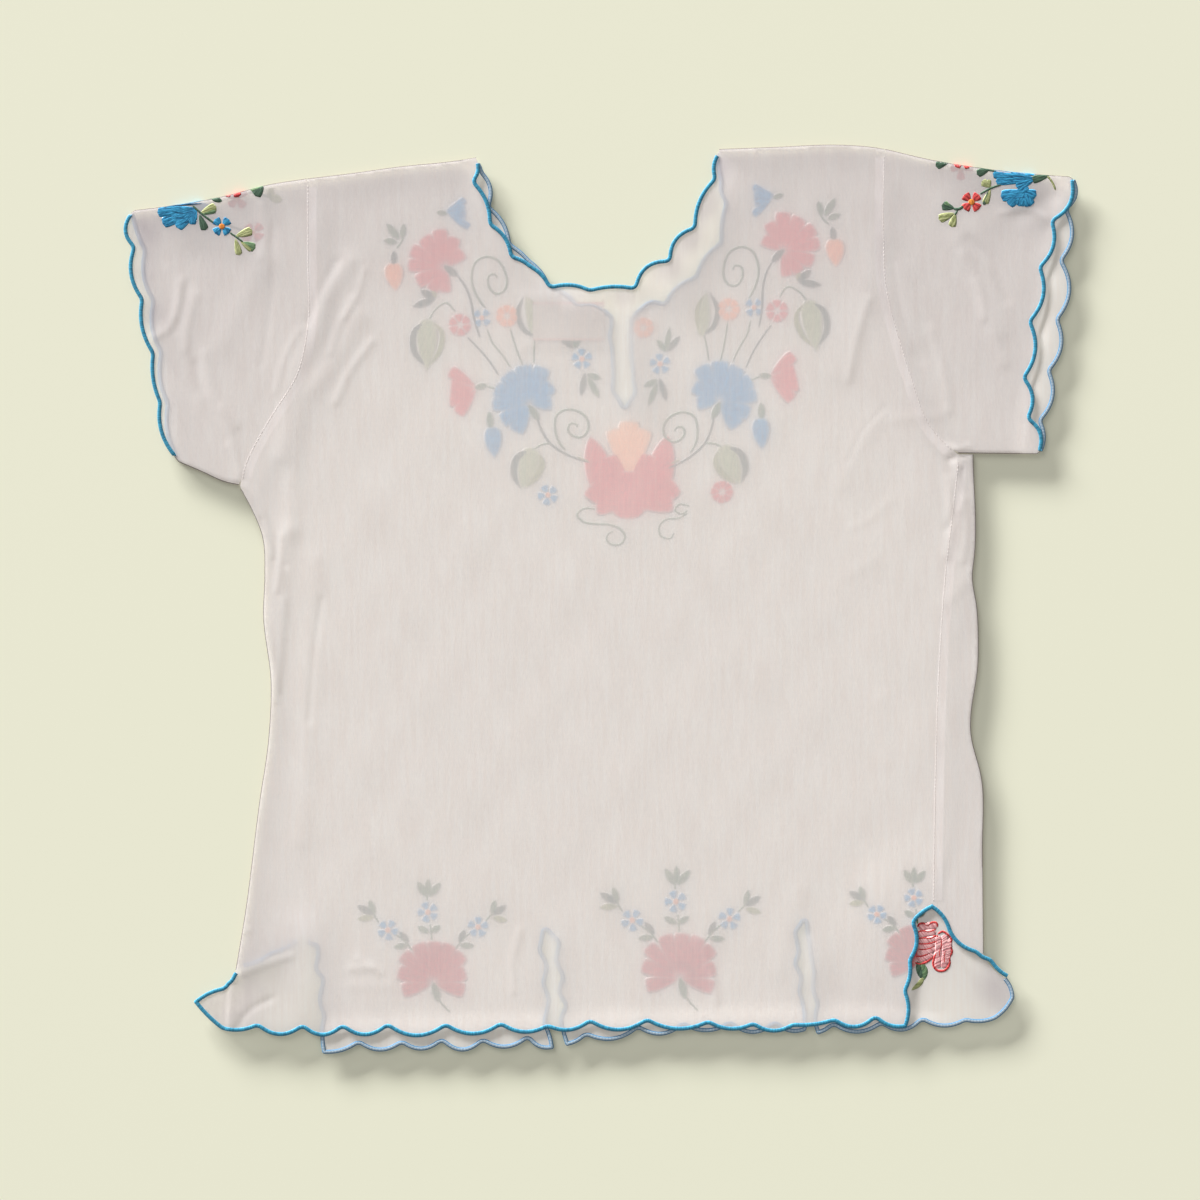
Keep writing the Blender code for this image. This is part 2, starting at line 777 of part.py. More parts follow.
def make_label(material, collection):
    """The patch sewn inside the back neck, just under the top layer."""
    bpy.ops.mesh.primitive_cube_add(size=1.0)
    label = bpy.context.object
    label.name = "neck_label"
    label.data.name = "neck_label"
    bottom = WALL + SEAM_GAP
    label.location = (
        LABEL_CENTRE[0] * METRE, LABEL_CENTRE[1] * METRE,
        (bottom + LABEL_SIZE[2] / 2) * METRE,
    )
    for vertex in label.data.vertices:
        vertex.co = [vertex.co[k] * LABEL_SIZE[k] * METRE for k in range(3)]
    bevel = label.modifiers.new("Edge", "BEVEL")
    bevel.width = LABEL_BEVEL * METRE
    bevel.segments = 1
    label.data.materials.append(material)
    for home in list(label.users_collection):
        home.objects.unlink(label)
    collection.objects.link(label)


def centre_on_origin(collection):
    """Carry every piece on one empty, so that the middle of the blouse's
    bounding box stands over the origin and its underside is at zero."""
    bpy.context.view_layer.update()
    graph = bpy.context.evaluated_depsgraph_get()
    corners = []
    for item in collection.objects:
        final = item.evaluated_get(graph)
        corners += [final.matrix_world @ Vector(corner) for corner in final.bound_box]
    low = [min(corner[k] for corner in corners) for k in range(3)]
    high = [max(corner[k] for corner in corners) for k in range(3)]
    carrier = bpy.data.objects.new("blouse_carrier", None)
    pieces = list(collection.objects)
    collection.objects.link(carrier)
    for item in pieces:
        item.parent = carrier
    carrier.location = (-(low[0] + high[0]) / 2, -(low[1] + high[1]) / 2, -low[2])


def build():
    clear_scene()
    collection = bpy.data.collections.new("embroidered_blouse")
    bpy.context.scene.collection.children.link(collection)
    cloth = cloth_material("white_cotton", CLOTH_WHITE, 0.85)
    edging = cloth_material("blue_edging", EDGING_BLUE, 0.6)
    label = cloth_material("label_tape", LABEL_PINK, 0.7)
    make_body(cloth, collection)
    make_sleeve(
        "left", LEFT_ARMHOLE, LEFT_SLEEVE_TOP, LEFT_UNDERARM,
        LEFT_CUFF_UPPER, LEFT_CUFF_LOWER, 1.0, cloth, edging, collection,
    )
    make_sleeve(
        "right", RIGHT_ARMHOLE, RIGHT_SLEEVE_TOP, RIGHT_UNDERARM,
        RIGHT_CUFF_UPPER, RIGHT_CUFF_LOWER, -1.0, cloth, edging, collection,
    )
    make_label(label, collection)
    make_edging("neck_edging_back", BACK_NECK, upper_height, edging, collection)
    make_edging("neck_edging_front", FRONT_NECK, lower_height, edging, collection)
    make_edging("hem_edging_back", BACK_HEM, upper_height, edging, collection)
    make_edging("hem_edging_front", FRONT_HEM, lower_height, edging, collection)
    make_edging("vent_edging_left", LEFT_UNDER_VENT, lower_height, edging, collection)
    make_edging("vent_edging_right", RIGHT_OVER_VENT, upper_height, edging, collection)
    centre_on_origin(collection)


build()
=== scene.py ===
# The looks of an embroidered cotton blouse that lies flat with its back up.
# Tables are in millimetres on the table, x to the right and y up from the back
# hem, or in pixels of the 1200 pixel photograph where a row says so.
import math

import bmesh
import bpy
import numpy as np
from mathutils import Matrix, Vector
from mathutils.geometry import delaunay_2d_cdt


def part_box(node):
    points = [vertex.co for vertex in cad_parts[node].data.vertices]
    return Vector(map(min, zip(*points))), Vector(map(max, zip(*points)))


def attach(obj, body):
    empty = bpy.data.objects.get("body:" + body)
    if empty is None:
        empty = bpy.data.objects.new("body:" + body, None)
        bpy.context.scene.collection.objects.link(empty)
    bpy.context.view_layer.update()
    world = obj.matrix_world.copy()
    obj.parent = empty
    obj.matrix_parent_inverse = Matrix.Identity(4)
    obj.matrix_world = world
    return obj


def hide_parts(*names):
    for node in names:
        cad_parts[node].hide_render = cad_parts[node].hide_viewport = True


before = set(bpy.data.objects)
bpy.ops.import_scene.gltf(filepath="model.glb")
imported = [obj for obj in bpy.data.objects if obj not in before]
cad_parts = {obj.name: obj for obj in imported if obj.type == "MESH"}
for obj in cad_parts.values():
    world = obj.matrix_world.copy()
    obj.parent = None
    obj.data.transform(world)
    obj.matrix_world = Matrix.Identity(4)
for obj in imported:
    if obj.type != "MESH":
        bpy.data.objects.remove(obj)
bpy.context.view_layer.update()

layout = {
    "mm": 0.001,
    "photoScale": 0.7,             # millimetres a pixel
    "photoZero": (600.0, 1027.0),  # the pixel at x 0, y 0 of the tables
    "photoCentre": (600.0, 600.0),
    "labelCentre": (-22.0, 494.0),
    "labelHeight": 1.5,
    "layerSplit": 3.0,             # the top layer lies above this height
}
mm = layout["mm"]
labelLow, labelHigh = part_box("neck_label")
labelMiddle = (np.array(labelLow) + np.array(labelHigh)) / 2 / mm
tableShift = labelMiddle - np.array((*layout["labelCentre"], layout["labelHeight"]))
print("frame loaded")

# Outlines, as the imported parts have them.
# A worked edge: a cusp (x, y), then how far the scallop after it swells.
backNeck = (
    (81.2, 610.8, 2.0), (79.1, 593.6, 4.0), (65.1, 560.0, 5.5), (47.6, 537.0, 6.5),
    (23.8, 518.0, 2.0), (-7.0, 516.6, 2.8), (-34.3, 518.7, 1.8), (-48.3, 533.4, 1.0),
    (-60.9, 539.7, 3.5), (-75.6, 562.1, 3.5), (-87.5, 591.5, 2.0), (-84.5, 605.2, 0.0),
)
frontNeck = (
    (81.6, 610.8, 1.0), (83.8, 592.0, 2.0), (87.5, 576.8, 1.5), (84.0, 549.5, 3.0),
    (66.5, 525.5, 3.5), (44.8, 506.5, 3.0), (29.4, 505.0, 0.5), (21.0, 496.0, 0.6),
    (20.4, 478.0, 0.8), (22.0, 460.0, 0.8), (24.0, 444.5, 0.6), (17.5, 433.5, 0.6),
    (10.0, 445.5, 0.8), (10.5, 466.0, 0.8), (8.0, 483.0, 0.8), (9.5, 497.5, 0.8),
    (-4.2, 506.5, 0.5), (-16.1, 506.1, 2.8), (-34.3, 518.0, 2.0), (-49.0, 537.0, 0.8),
    (-62.3, 548.1, 3.5), (-77.0, 574.0, 4.2), (-81.9, 598.5, 0.5), (-84.5, 605.2, 0.0),
)
backHem = (
    (-258.0, 33.5, 0.8), (-262.5, 28.7, 1.8), (-284.2, 18.2, 1.0), (-264.6, -1.4, 2.5),
    (-239.4, 0.7, 6.3), (-207.9, 0.0, 6.3), (-179.9, 0.0, 6.5), (-148.4, 0.7, 7.5),
    (-107.8, 0.7, 6.6), (-69.3, 1.4, 5.0), (-36.4, 0.0, 4.6), (-7.0, 3.5, 6.6),
    (32.9, 4.2, 5.6), (75.6, 2.8, 4.2), (107.1, 1.4, 4.6), (135.1, 0.7, 1.5),
    (163.8, 4.2, 6.0), (192.5, 6.3, 3.0), (214.2, 0.0, 2.8), (214.2, 25.9, 2.0),
    (217.7, 46.9, 4.0), (219.8, 73.5, -1.2), (230.5, 82.0, 0.0),
)
frontHem = (
    (-206.0, 60.0, 1.5), (-198.0, 56.5, 0.4), (-198.2, 49.4, 0.4), (-200.2, 40.6, 0.4),
    (-194.4, 32.9, 0.4), (-197.6, 18.9, 0.4), (-193.8, 7.4, 0.4), (-195.6, -3.0, 0.4),
    (-193.9, -18.2, 2.5),
    (-168.7, -11.2, 5.6), (-138.6, -11.2, 5.6), (-110.6, -9.8, 7.0), (-81.9, -9.8, 6.0),
    (-50.4, -7.7, 3.5), (-32.2, -14.7, 1.0), (-37.8, 3.5, 0.4), (-34.3, 18.9, 0.4),
    (-38.5, 30.8, 0.4), (-35.7, 43.4, 0.4), (-41.3, 53.9, 0.4), (-38.5, 68.6, 0.4),
    (-29.4, 58.8, 0.4), (-32.2, 46.9, 0.4), (-26.6, 35.0, 0.4), (-30.1, 24.5, 0.4),
    (-24.5, 15.4, 0.4), (-28.7, 4.9, 0.4), (-23.8, -12.8, 1.5), (-9.8, -5.6, 6.0),
    (26.6, -0.7, 6.0),
    (58.1, 1.4, 5.0), (91.0, 2.1, 6.5), (122.5, 2.1, 3.5), (144.2, -2.1, 0.6),
    (143.9, 14.0, 0.4), (140.7, 25.2, 0.4), (142.5, 35.4, 0.4), (137.5, 44.4, 0.4),
    (140.7, 52.0, 0.4), (137.5, 66.0, 0.4), (143.5, 75.0, 0.4), (145.6, 57.1, 0.4),
    (148.9, 38.0, 0.4), (147.7, 26.6, 0.4), (151.5, 16.4, 0.4), (148.9, 4.9, 0.4),
    (151.9, -4.9, 1.0),
    (163.1, 1.4, 6.0), (196.7, 2.1, 6.3), (225.4, 4.9, 4.6), (255.5, 4.2, 1.8),
    (276.5, 5.6, 1.5), (289.8, 21.0, 1.5), (283.5, 35.7, -1.2), (270.8, 47.5, 0.0),
)
leftUnderVent = ((-250.0, 41.5, 1.5), (-229.0, 50.5, 1.5), (-210.5, 60.0, 0.0))
rightOverVent = ((233.5, 82.2, -2.4), (243.0, 67.5, 3.0), (262.5, 52.0, 0.0))
leftCuffUpper = (
    (-329.5, 568.4, 4.8), (-326.9, 545.3, 5.0), (-321.3, 508.9, 4.0),
    (-313.6, 471.1, 2.6), (-308.7, 436.8, 4.5), (-298.6, 399.4, 0.0),
)
leftCuffLower = (
    (-328.4, 568.1, 1.0), (-319.5, 543.0, 4.0), (-313.5, 508.0, 4.0),
    (-308.0, 472.0, 3.5), (-303.5, 436.0, 3.5), (-297.6, 399.0, 0.0),
)
rightCuffUpper = (
    (331.2, 592.2, 6.0), (317.1, 563.5, 5.4), (308.7, 531.3, 6.0), (301.7, 493.5, 6.0),
    (297.5, 454.3, 4.8), (300.3, 426.3, 4.6), (308.6, 403.4, 0.0),
)
rightCuffLower = (
    (332.6, 592.0, 4.0), (326.9, 571.9, 6.2), (323.4, 536.2, 7.4), (320.6, 494.9, 6.0),
    (314.8, 459.2, 6.0), (308.6, 424.2, 2.5), (309.6, 403.3, 0.0),
)

# Folds, the outermost line of the cloth, and seams (x, y).
folds = {
    "leftShoulder": (
        (-86.7, 608.3), (-100.0, 606.2), (-140.0, 602.0), (-175.7, 597.1), (-204.7, 593.6),
    ),
    "rightShoulder": (
        (199.1, 614.3), (187.6, 616.0), (167.3, 617.2), (120.4, 615.6), (83.5, 614.2),
    ),
    "leftSleeveTop": (
        (-205.4, 593.5), (-229.6, 589.8), (-264.3, 581.0), (-296.8, 575.1), (-329.6, 571.0),
    ),
    "rightSleeveTop": ((199.8, 614.2), (231.0, 606.9), (280.0, 599.2), (333.0, 594.4)),
    "leftUnderarm": ((-252.6, 379.3), (-260.4, 380.8), (-280.0, 389.2), (-298.2, 396.9)),
    "rightUnderarm": ((250.4, 401.6), (280.0, 401.2), (309.5, 400.9)),
    "leftSide": (
        (-251.3, 376.4), (-242.9, 360.5), (-236.4, 344.0), (-234.6, 316.0),
        (-235.6, 290.0), (-230.2, 240.0), (-232.0, 201.0), (-238.2, 158.0),
        (-248.4, 79.0), (-254.8, 40.5),
    ),
    "rightSide": (
        (261.1, 400.7), (261.8, 327.0), (260.6, 317.5), (263.9, 292.0), (264.6, 257.0),
        (259.6, 205.5), (267.2, 173.0), (267.6, 124.0), (268.1, 52.0),
    ),
}
seams = {
    "leftArmhole": (
        (-205.1, 593.6), (-205.1, 540.0), (-205.3, 488.0), (-212.8, 456.4),
        (-229.6, 429.1), (-241.6, 408.5), (-248.4, 393.8), (-251.6, 378.6),
    ),
    "rightArmhole": (
        (199.5, 614.3), (199.0, 551.0), (201.0, 516.0), (208.0, 488.0),
        (217.5, 457.0), (232.0, 420.0), (243.0, 407.6), (250.0, 400.9),
    ),
    "leftSide": (
        (-248.4, 377.0), (-214.0, 340.0), (-198.0, 299.0), (-204.0, 229.0),
        (-208.0, 159.0), (-209.0, 89.0), (-208.2, 61.0),
    ),
    "rightSide": (
        (250.0, 400.8), (248.5, 386.4), (245.0, 355.0), (241.5, 327.0), (238.0, 285.0),
        (235.0, 229.0), (233.4, 170.0), (232.6, 120.0), (232.0, 83.0),
    ),
}

cloth = {
    "lowerClose": 0.8,            # how closely woven the under layer looks
    "lowerMid": 0.5,
    "upperMid": 3.3,     # light cotton springs up a little from the layer below
    "foldOut": 0.6,      # how far a fold's turn stands out past the flat cloth
    "creaseScale": 0.145, # of the heights in the table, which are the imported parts'
    "bodyStep": 2.0,     # between points of a body panel
    "hiddenStep": 4.0,   # where a panel lies under another layer
    "edgeStep": 2.0,     # along worked edges
    "foldStep": 4.0,
    "armholeStep": 3.0,
    "turnSteps": 10,     # round half a fold
    "sleeveStations": 56,
    "underarmTrim": 5.0,
    "edgeInset": 0.9,    # the cloth stops this far inside the worked edge
    "labelHalf": (27.0, 15.5),
    "labelRise": 0.12,
    "labelSlope": 9.0,
    "pleatLine": ((-253.0, 45.0), (-257.0, 30.0), (-259.5, 1.5)),
    "pleatDrop": 0.3,
    "pleatReach": 3.0,
    # painted shade: the cloth darkens outward from the middle, by at most this much, from this distance
    # and over this reach, in mm
    "outerPaintedShade": 0.42, "paintedShadeFrom": 210.0, "paintedShadeReach": 190.0,
    # faces steeper than this take the fold material, whose darker colour is painted shade
    "turned": 0.965,       # a face whose normal's upward share is less is part of a fold's turn
}

# Creases of the top layer: height, half width (mm), then the line in photo pixels.
creases = (
    (1.8, 7.0, (350, 262), (325, 300), (316, 335), (300, 365), (289, 395), (283, 455)),
    (1.5, 7.0, (358, 318), (345, 345), (325, 375), (303, 398), (296, 450), (290, 530)),
    (1.6, 6.0, (290, 530), (285, 560), (278, 610), (272, 680)),
    (1.2, 6.0, (203, 402), (222, 440), (238, 478)),
    (1.2, 9.0, (268, 262), (243, 300), (222, 345)),
    (0.8, 7.0, (316, 560), (309, 700), (303, 840)),
    (1.1, 9.0, (878, 240), (860, 310), (843, 370)),
    (0.7, 7.0, (877, 420), (855, 450), (842, 485)),
    (0.4, 5.0, (872, 560), (852, 573)),
    (0.5, 4.0, (895, 420), (945, 415)),
    (1.0, 8.0, (905, 270), (915, 340)),
    (1.2, 8.0, (960, 240), (985, 270), (1000, 330)),
    (1.2, 5.0, (975, 285), (990, 320), (1003, 362)),
    (0.5, 4.0, (956, 465), (959, 500), (952, 545)),
    (0.6, 5.0, (972, 573), (958, 589), (945, 603)),
    (0.5, 6.0, (880, 700), (885, 760)),
    (0.8, 8.0, (800, 890), (790, 925), (778, 970)),
    (0.9, 6.0, (275, 965), (240, 975), (215, 1000)),
    (1.1, 5.0, (232, 985), (229, 1005), (230, 1022)),
    (0.5, 4.0, (350, 985), (390, 985)),
)
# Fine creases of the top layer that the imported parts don't have, at their real height.
fineCreases = (
    (0.22, 3.0, (182, 282), (178, 310), (168, 330), (155, 338)),
    (0.18, 3.0, (196, 296), (188, 330), (186, 350)),
    (0.16, 3.0, (262, 205), (266, 235), (262, 258)),
    (0.20, 3.5, (205, 355), (214, 392), (236, 425)),
    (-0.18, 3.0, (196, 365), (206, 402), (226, 440)),
    (0.16, 3.0, (352, 300), (338, 330), (331, 352)),
    (-0.20, 3.5, (338, 262), (322, 290), (309, 322)),
    (0.18, 3.0, (372, 342), (350, 372), (336, 402)),
    (0.16, 3.0, (285, 600), (281, 655), (276, 700)),
    (0.14, 3.0, (352, 968), (372, 967)),
    (0.16, 3.0, (232, 978), (252, 968), (290, 956)),
    (0.14, 3.0, (358, 958), (380, 972)),
    (0.20, 3.0, (962, 255), (978, 285), (983, 318)),
    (-0.20, 3.5, (968, 240), (992, 262), (1006, 300)),
    (0.16, 3.0, (930, 330), (944, 372), (948, 410)),
    (0.22, 3.0, (955, 450), (960, 478), (957, 510)),
    (0.18, 3.0, (947, 480), (950, 520), (946, 556)),
    (0.16, 3.0, (964, 500), (966, 530), (962, 560)),
    (0.16, 3.0, (868, 300), (856, 340), (848, 380)),
    (0.05, 3.0, (890, 500), (868, 520), (850, 528)),
    (0.16, 3.0, (1010, 196), (1030, 206), (1044, 222)),
    (-0.25, 6.0, (1018, 218), (1034, 210), (1050, 196)),
    (0.12, 3.0, (700, 940), (712, 975), (716, 1000)),
    (0.12, 3.0, (520, 930), (512, 965), (514, 990)),
    (0.24, 2.2, (246, 486), (260, 505), (268, 530), (272, 556)),
    (-0.16, 2.2, (262, 520), (274, 548), (286, 566)),
    (0.16, 2.2, (283, 535), (281, 560), (277, 590)),
    (0.16, 2.2, (262, 622), (272, 650), (278, 690)),
    (-0.14, 2.2, (322, 600), (314, 660), (310, 720)),
    (0.20, 2.4, (948, 446), (958, 452), (968, 447)),
    (-0.34, 2.4, (950, 460), (958, 456), (966, 452)),
    (0.12, 2.4, (957, 466), (951, 490), (950, 520)),
    (-0.20, 2.2, (962, 470), (958, 500), (946, 530)),
    (-0.07, 2.0, (884, 408), (862, 432), (848, 462)),
    (0.14, 2.2, (168, 268), (180, 290), (178, 318)),
    (-0.14, 2.2, (190, 282), (184, 300), (176, 332)),
    (0.14, 2.2, (300, 330), (286, 356), (276, 392)),
    (0.16, 2.2, (222, 408), (232, 440), (241, 474)),
    (0.12, 2.2, (365, 270), (356, 300), (345, 318)),
    (0.12, 2.2, (1000, 214), (1022, 210), (1046, 218)),
    (-0.12, 2.2, (893, 262), (901, 312), (921, 362)),
    (-0.12, 2.0, (274, 228), (272, 300), (262, 366)),
    (0.12, 2.2, (206, 945), (226, 935), (250, 930)),
    (-0.16, 2.4, (236, 1030), (250, 1010), (272, 998)),
)
# Where the under layer lifts off the table, in photo pixels: a flat top with soft sides.
lowerSwells = (
    (2.2, 15.0, (325, 1044), (480, 1040), (640, 1036), (860, 1030), (985, 1026)),
    (2.2, 15.0, (1076, 180), (1066, 260), (1056, 340), (1046, 400), (1040, 450)),
    (1.9, 12.0, (482, 160), (492, 205), (516, 245), (545, 272)),
    (2.2, 55.0, (932, 930), (950, 950), (985, 1010)),
)
lowerCreases = (
    (0.22, 3.5, (955, 948), (980, 978), (1002, 1008)),
    (-0.16, 3.0, (948, 955), (972, 984), (992, 1012)),
)
# Slow swells of the cloth: height (mm), wavelengths along x and y (mm), phase.
swells = (
    (0.030, 71.0, 213.0, 0.3), (0.020, 97.0, -83.0, 1.7), (0.012, -47.0, 59.0, 4.1),
    (0.020, 133.0, 61.0, 2.2), (0.010, -38.0, 171.0, 5.3), (0.010, 61.0, 47.0, 0.9),
)


# Painted shade: corrections of tone to match the photo where the light alone didn't, patches
# that darken the cloth, 1 on the top layer or -1 on the under one, amount, radius and place in photo
# pixels.
paintedShadePatches = (
    (1, 0.35, 15, 575, 294), (1, 0.50, 17, 600, 296), (1, 0.55, 17, 626, 297),
    (1, 0.50, 14, 649, 296), (1, 0.75, 16, 715, 168), (1, 0.80, 17, 706, 206),
    (1, 0.80, 17, 691, 240), (1, 0.75, 17, 672, 270), (1, 0.80, 28, 214, 1000),
    (1, 0.70, 22, 238, 995), (-1, 0.90, 30, 210, 990), (1, 0.70, 20, 140, 236),
    (1, 0.60, 14, 139, 276), (1, 0.50, 14, 150, 315),
    (-1, 0.90, 26, 1000, 988), (1, 0.30, 30, 280, 970),
)
# A correction, not a fact about the weave: where one layer lies alone too much of the
# board showed through, so less light passes near these lines: half width and line, in pixels.
closeLines = (
    (12, (624, 296), (625, 340), (626, 392)), (6, (552, 938), (554, 980), (555, 1020)),
    (6, (808, 938), (809, 980), (810, 1020)),
    (19, (708, 168), (698, 212), (682, 246), (662, 276)), (13, (545, 285), (575, 292)),
    (30, (248, 1010), (285, 1002)), (18, (296, 965), (300, 920)),
)


def fromPhoto(points):
    # Table millimetres of pixels: across and up from the zero pixel, times the scale.
    points = np.atleast_2d(np.array(points, dtype=float))
    zero = np.array(layout["photoZero"])
    return (points - zero) * (1.0, -1.0) * layout["photoScale"]


def smoothStep(values):
    t = np.clip(values, 0.0, 1.0)
    return t * t * (3 - 2 * t)


def scalloped(rows, step, outward=1.0):
    # A parabola on each chord: chord point plus side times swell times 4t(1-t).
    points = []
    for (x0, y0, swell), (x1, y1, _) in zip(rows, rows[1:]):
        length = math.hypot(x1 - x0, y1 - y0)
        count = max(2, round(length / step))
        t = (np.arange(count) / count)[:, None]
        side = np.array(((y1 - y0) / length, (x0 - x1) / length)) * outward
        chord = np.array((x0, y0)) * (1 - t) + np.array((x1, y1)) * t
        points.append(chord + side * swell * 4 * t * (1 - t))
    points.append(np.array([rows[-1][:2]]))
    return np.vstack(points)


def smoothLine(rows, step):
    # A Hermite curve through the rows, a point every step or so.
    knots = np.array(rows, dtype=float)
    spans = np.hypot(*np.diff(knots, axis=0).T)
    places = np.concatenate(([0.0], np.cumsum(spans)))
    tangents = np.gradient(knots, places, axis=0)
    points = []
    for k, span in enumerate(spans):
        count = max(1, round(span / step))
        t = (np.arange(count) / count)[:, None]
        points.append(
            (2 * t**3 - 3 * t**2 + 1) * knots[k]
            + (t**3 - 2 * t**2 + t) * span * tangents[k]
            + (3 * t**2 - 2 * t**3) * knots[k + 1]
            + (t**3 - t**2) * span * tangents[k + 1]
        )
    points.append(knots[-1:])
    return np.vstack(points)


def resampled(points, count, startTrim=0.0, endTrim=0.0):
    # The same line with count points at even distances along it.
    places = np.concatenate(([0.0], np.cumsum(np.linalg.norm(np.diff(points, axis=0), axis=1))))
    wanted = np.linspace(startTrim, places[-1] - endTrim, count)
    return np.column_stack([np.interp(wanted, places, column) for column in points.T])


def rightNormals(points):
    # Unit normals on the right of a line, longer at corners so that it keeps its distance.
    steps = np.diff(points, axis=0)
    steps /= np.hypot(*steps.T)[:, None]
    sides = np.column_stack((steps[:, 1], -steps[:, 0]))
    middle = np.vstack((sides[:1], sides)) + np.vstack((sides, sides[-1:]))
    return 2 * middle / np.maximum((middle**2).sum(axis=1), 1.6)[:, None]


def distanceToLine(points, line):
    # Least distance from each point to a line of straight pieces.
    best = np.full(len(points), 1e9)
    for a, b in zip(line, line[1:]):
        span = b - a
        t = np.clip((points - a) @ span / (span @ span), 0.0, 1.0)
        best = np.minimum(best, np.hypot(*(points - a - t[:, None] * span).T))
    return best


creaseLines = [
    (row[0] * cloth["creaseScale"], row[1], smoothLine(fromPhoto(row[2:]), 8.0)) for row in creases
] + [(row[0], row[1], smoothLine(fromPhoto(row[2:]), 5.0)) for row in fineCreases]
lowerLines = [
    [(row[0], row[1], smoothLine(fromPhoto(row[2:]), 8.0)) for row in rows]
    for rows in (lowerSwells, lowerCreases)
]


def upperHeight(points):
    # Height of the top layer: flat, plus a bell along each crease and slow swells.
    height = np.full(len(points), cloth["upperMid"])
    for rise, halfWidth, line in creaseLines:
        height += rise * np.exp(-(distanceToLine(points, line) / halfWidth)**2)
    for rise, waveX, waveY, phase in swells:
        turns = points[:, 0] / waveX + points[:, 1] / waveY
        height += rise * np.sin(2 * math.pi * turns + phase)
    out = (np.abs(points - np.array(layout["labelCentre"])) - np.array(cloth["labelHalf"])).max(axis=1)
    height += cloth["labelRise"] * smoothStep(1 - out / cloth["labelSlope"])
    pleat = np.array(cloth["pleatLine"])[::-1]
    past = np.interp(points[:, 1], pleat[:, 1], pleat[:, 0]) - points[:, 0]
    below = smoothStep((pleat[-1, 1] - points[:, 1]) / 6.0)
    return height - cloth["pleatDrop"] * below * smoothStep(past / cloth["pleatReach"])


def lowerHeight(points):
    # Height of the under layer: the highest of its flat-topped swells, plus its creases.
    lift = np.zeros(len(points))
    for rise, halfWidth, line in lowerLines[0]:
        lift = np.maximum(lift, rise * np.exp(-(distanceToLine(points, line) / halfWidth)**4))
    for rise, halfWidth, line in lowerLines[1]:
        lift += rise * np.exp(-(distanceToLine(points, line) / halfWidth)**2)
    return cloth["lowerMid"] + lift


# Mesh helpers.
def newSurface():
    return {"points": [], "faces": [], "uv": [], "material": [], "count": 0}


def addGrid(surface, rows, closed=False, material=0, uv=None):
    # Quads over a grid of points (rows, columns, 3). closed joins the last column to the first.
    high, wide = rows.shape[:2]
    index = np.arange(high * wide).reshape(high, wide) + surface["count"]
    if closed:
        index = np.hstack((index, index[:, :1]))
    quads = np.stack((index[:-1, :-1], index[:-1, 1:], index[1:, 1:], index[1:, :-1]), axis=-1)
    surface["points"].append(rows.reshape(-1, 3))
    surface["faces"] += quads.reshape(-1, 4).tolist()
    surface["material"] += [material] * (quads.size // 4)
    if uv is not None:
        corners = np.stack((uv[:-1, :-1], uv[:-1, 1:], uv[1:, 1:], uv[1:, :-1]), axis=2)
        surface["uv"].append(corners.reshape(-1, 2))
    surface["count"] += high * wide


def insideOutline(points, outline):
    # Which points lie inside a closed outline, by crossings to the right.
    inside = np.zeros(len(points), dtype=bool)
    for a, b in zip(outline, np.roll(outline, -1, axis=0)):
        if a[1] == b[1]:
            continue
        spans = (a[1] > points[:, 1]) != (b[1] > points[:, 1])
        crossing = a[0] + (points[:, 1] - a[1]) * (b[0] - a[0]) / (b[1] - a[1])
        inside ^= spans & (points[:, 0] < crossing)
    return inside


def addSheet(surface, outline, height, step):
    # A flat sheet inside an outline: staggered rows of points, and height(x, y) for z.
    low, high = outline.min(axis=0), outline.max(axis=0)
    xs = np.arange(low[0] + step / 2, high[0], step)
    ys = np.arange(low[1] + step / 2, high[1], step * math.sqrt(3) / 2)
    grid = np.stack(np.meshgrid(xs, ys), axis=-1)
    grid[::2, :, 0] += step / 2
    points = grid.reshape(-1, 2)
    points = points[insideOutline(points, outline)]
    edge = np.vstack((outline, outline[:1]))
    points = points[distanceToLine(points, edge) > step * 0.55]
    count = len(outline)
    flat, _, faces, _, _, _ = delaunay_2d_cdt(
        [Vector(point) for point in np.vstack((outline, points))],
        [(k, (k + 1) % count) for k in range(count)], [], 1, 1e-4,
    )
    flat = np.array([tuple(point) for point in flat])
    surface["points"].append(np.column_stack((flat, height(flat))))
    surface["faces"] += [[k + surface["count"] for k in face] for face in faces]
    surface["material"] += [0] * len(faces)
    surface["count"] += len(flat)


def addTurn(surface, edge, outward, start, end):
    # Part of the half oval round a fold, from the top layer at angle 0 to the under one at pi.
    top = upperHeight(edge)
    low = lowerHeight(edge)
    radius, middle = (top - low) / 2, (top + low) / 2
    count = max(3, round(cloth["turnSteps"] * abs(end - start) / math.pi)) + 1
    angle = np.linspace(start, end, count)[:, None]
    across = edge[None] + outward[None] * (cloth["foldOut"] * np.sin(angle))[..., None]
    addGrid(surface, np.dstack((across, middle + radius * np.cos(angle))))


def paintedShadeAmount(points):
    # How much painted shade the cloth gets, 0 to 1: more from the middle outward, plus a bell for each
    # patch.
    x, y, z = points.T
    middle = (layout["photoCentre"][0], layout["photoCentre"][1] + 90)
    reach = np.hypot(*(points[:, :2] - fromPhoto(middle)).T)
    paintedShade = cloth["outerPaintedShade"] * smoothStep((reach - cloth["paintedShadeFrom"]) / cloth["paintedShadeReach"])
    paintedShade *= z > layout["layerSplit"]
    for layer, amount, radius, *place in paintedShadePatches:
        away = np.hypot(*(points[:, :2] - fromPhoto(place)).T) / (radius * layout["photoScale"])
        paintedShade += amount * np.exp(-away**2) * ((z > layout["layerSplit"]) == (layer > 0))
    return np.clip(paintedShade, 0.0, 1.0)


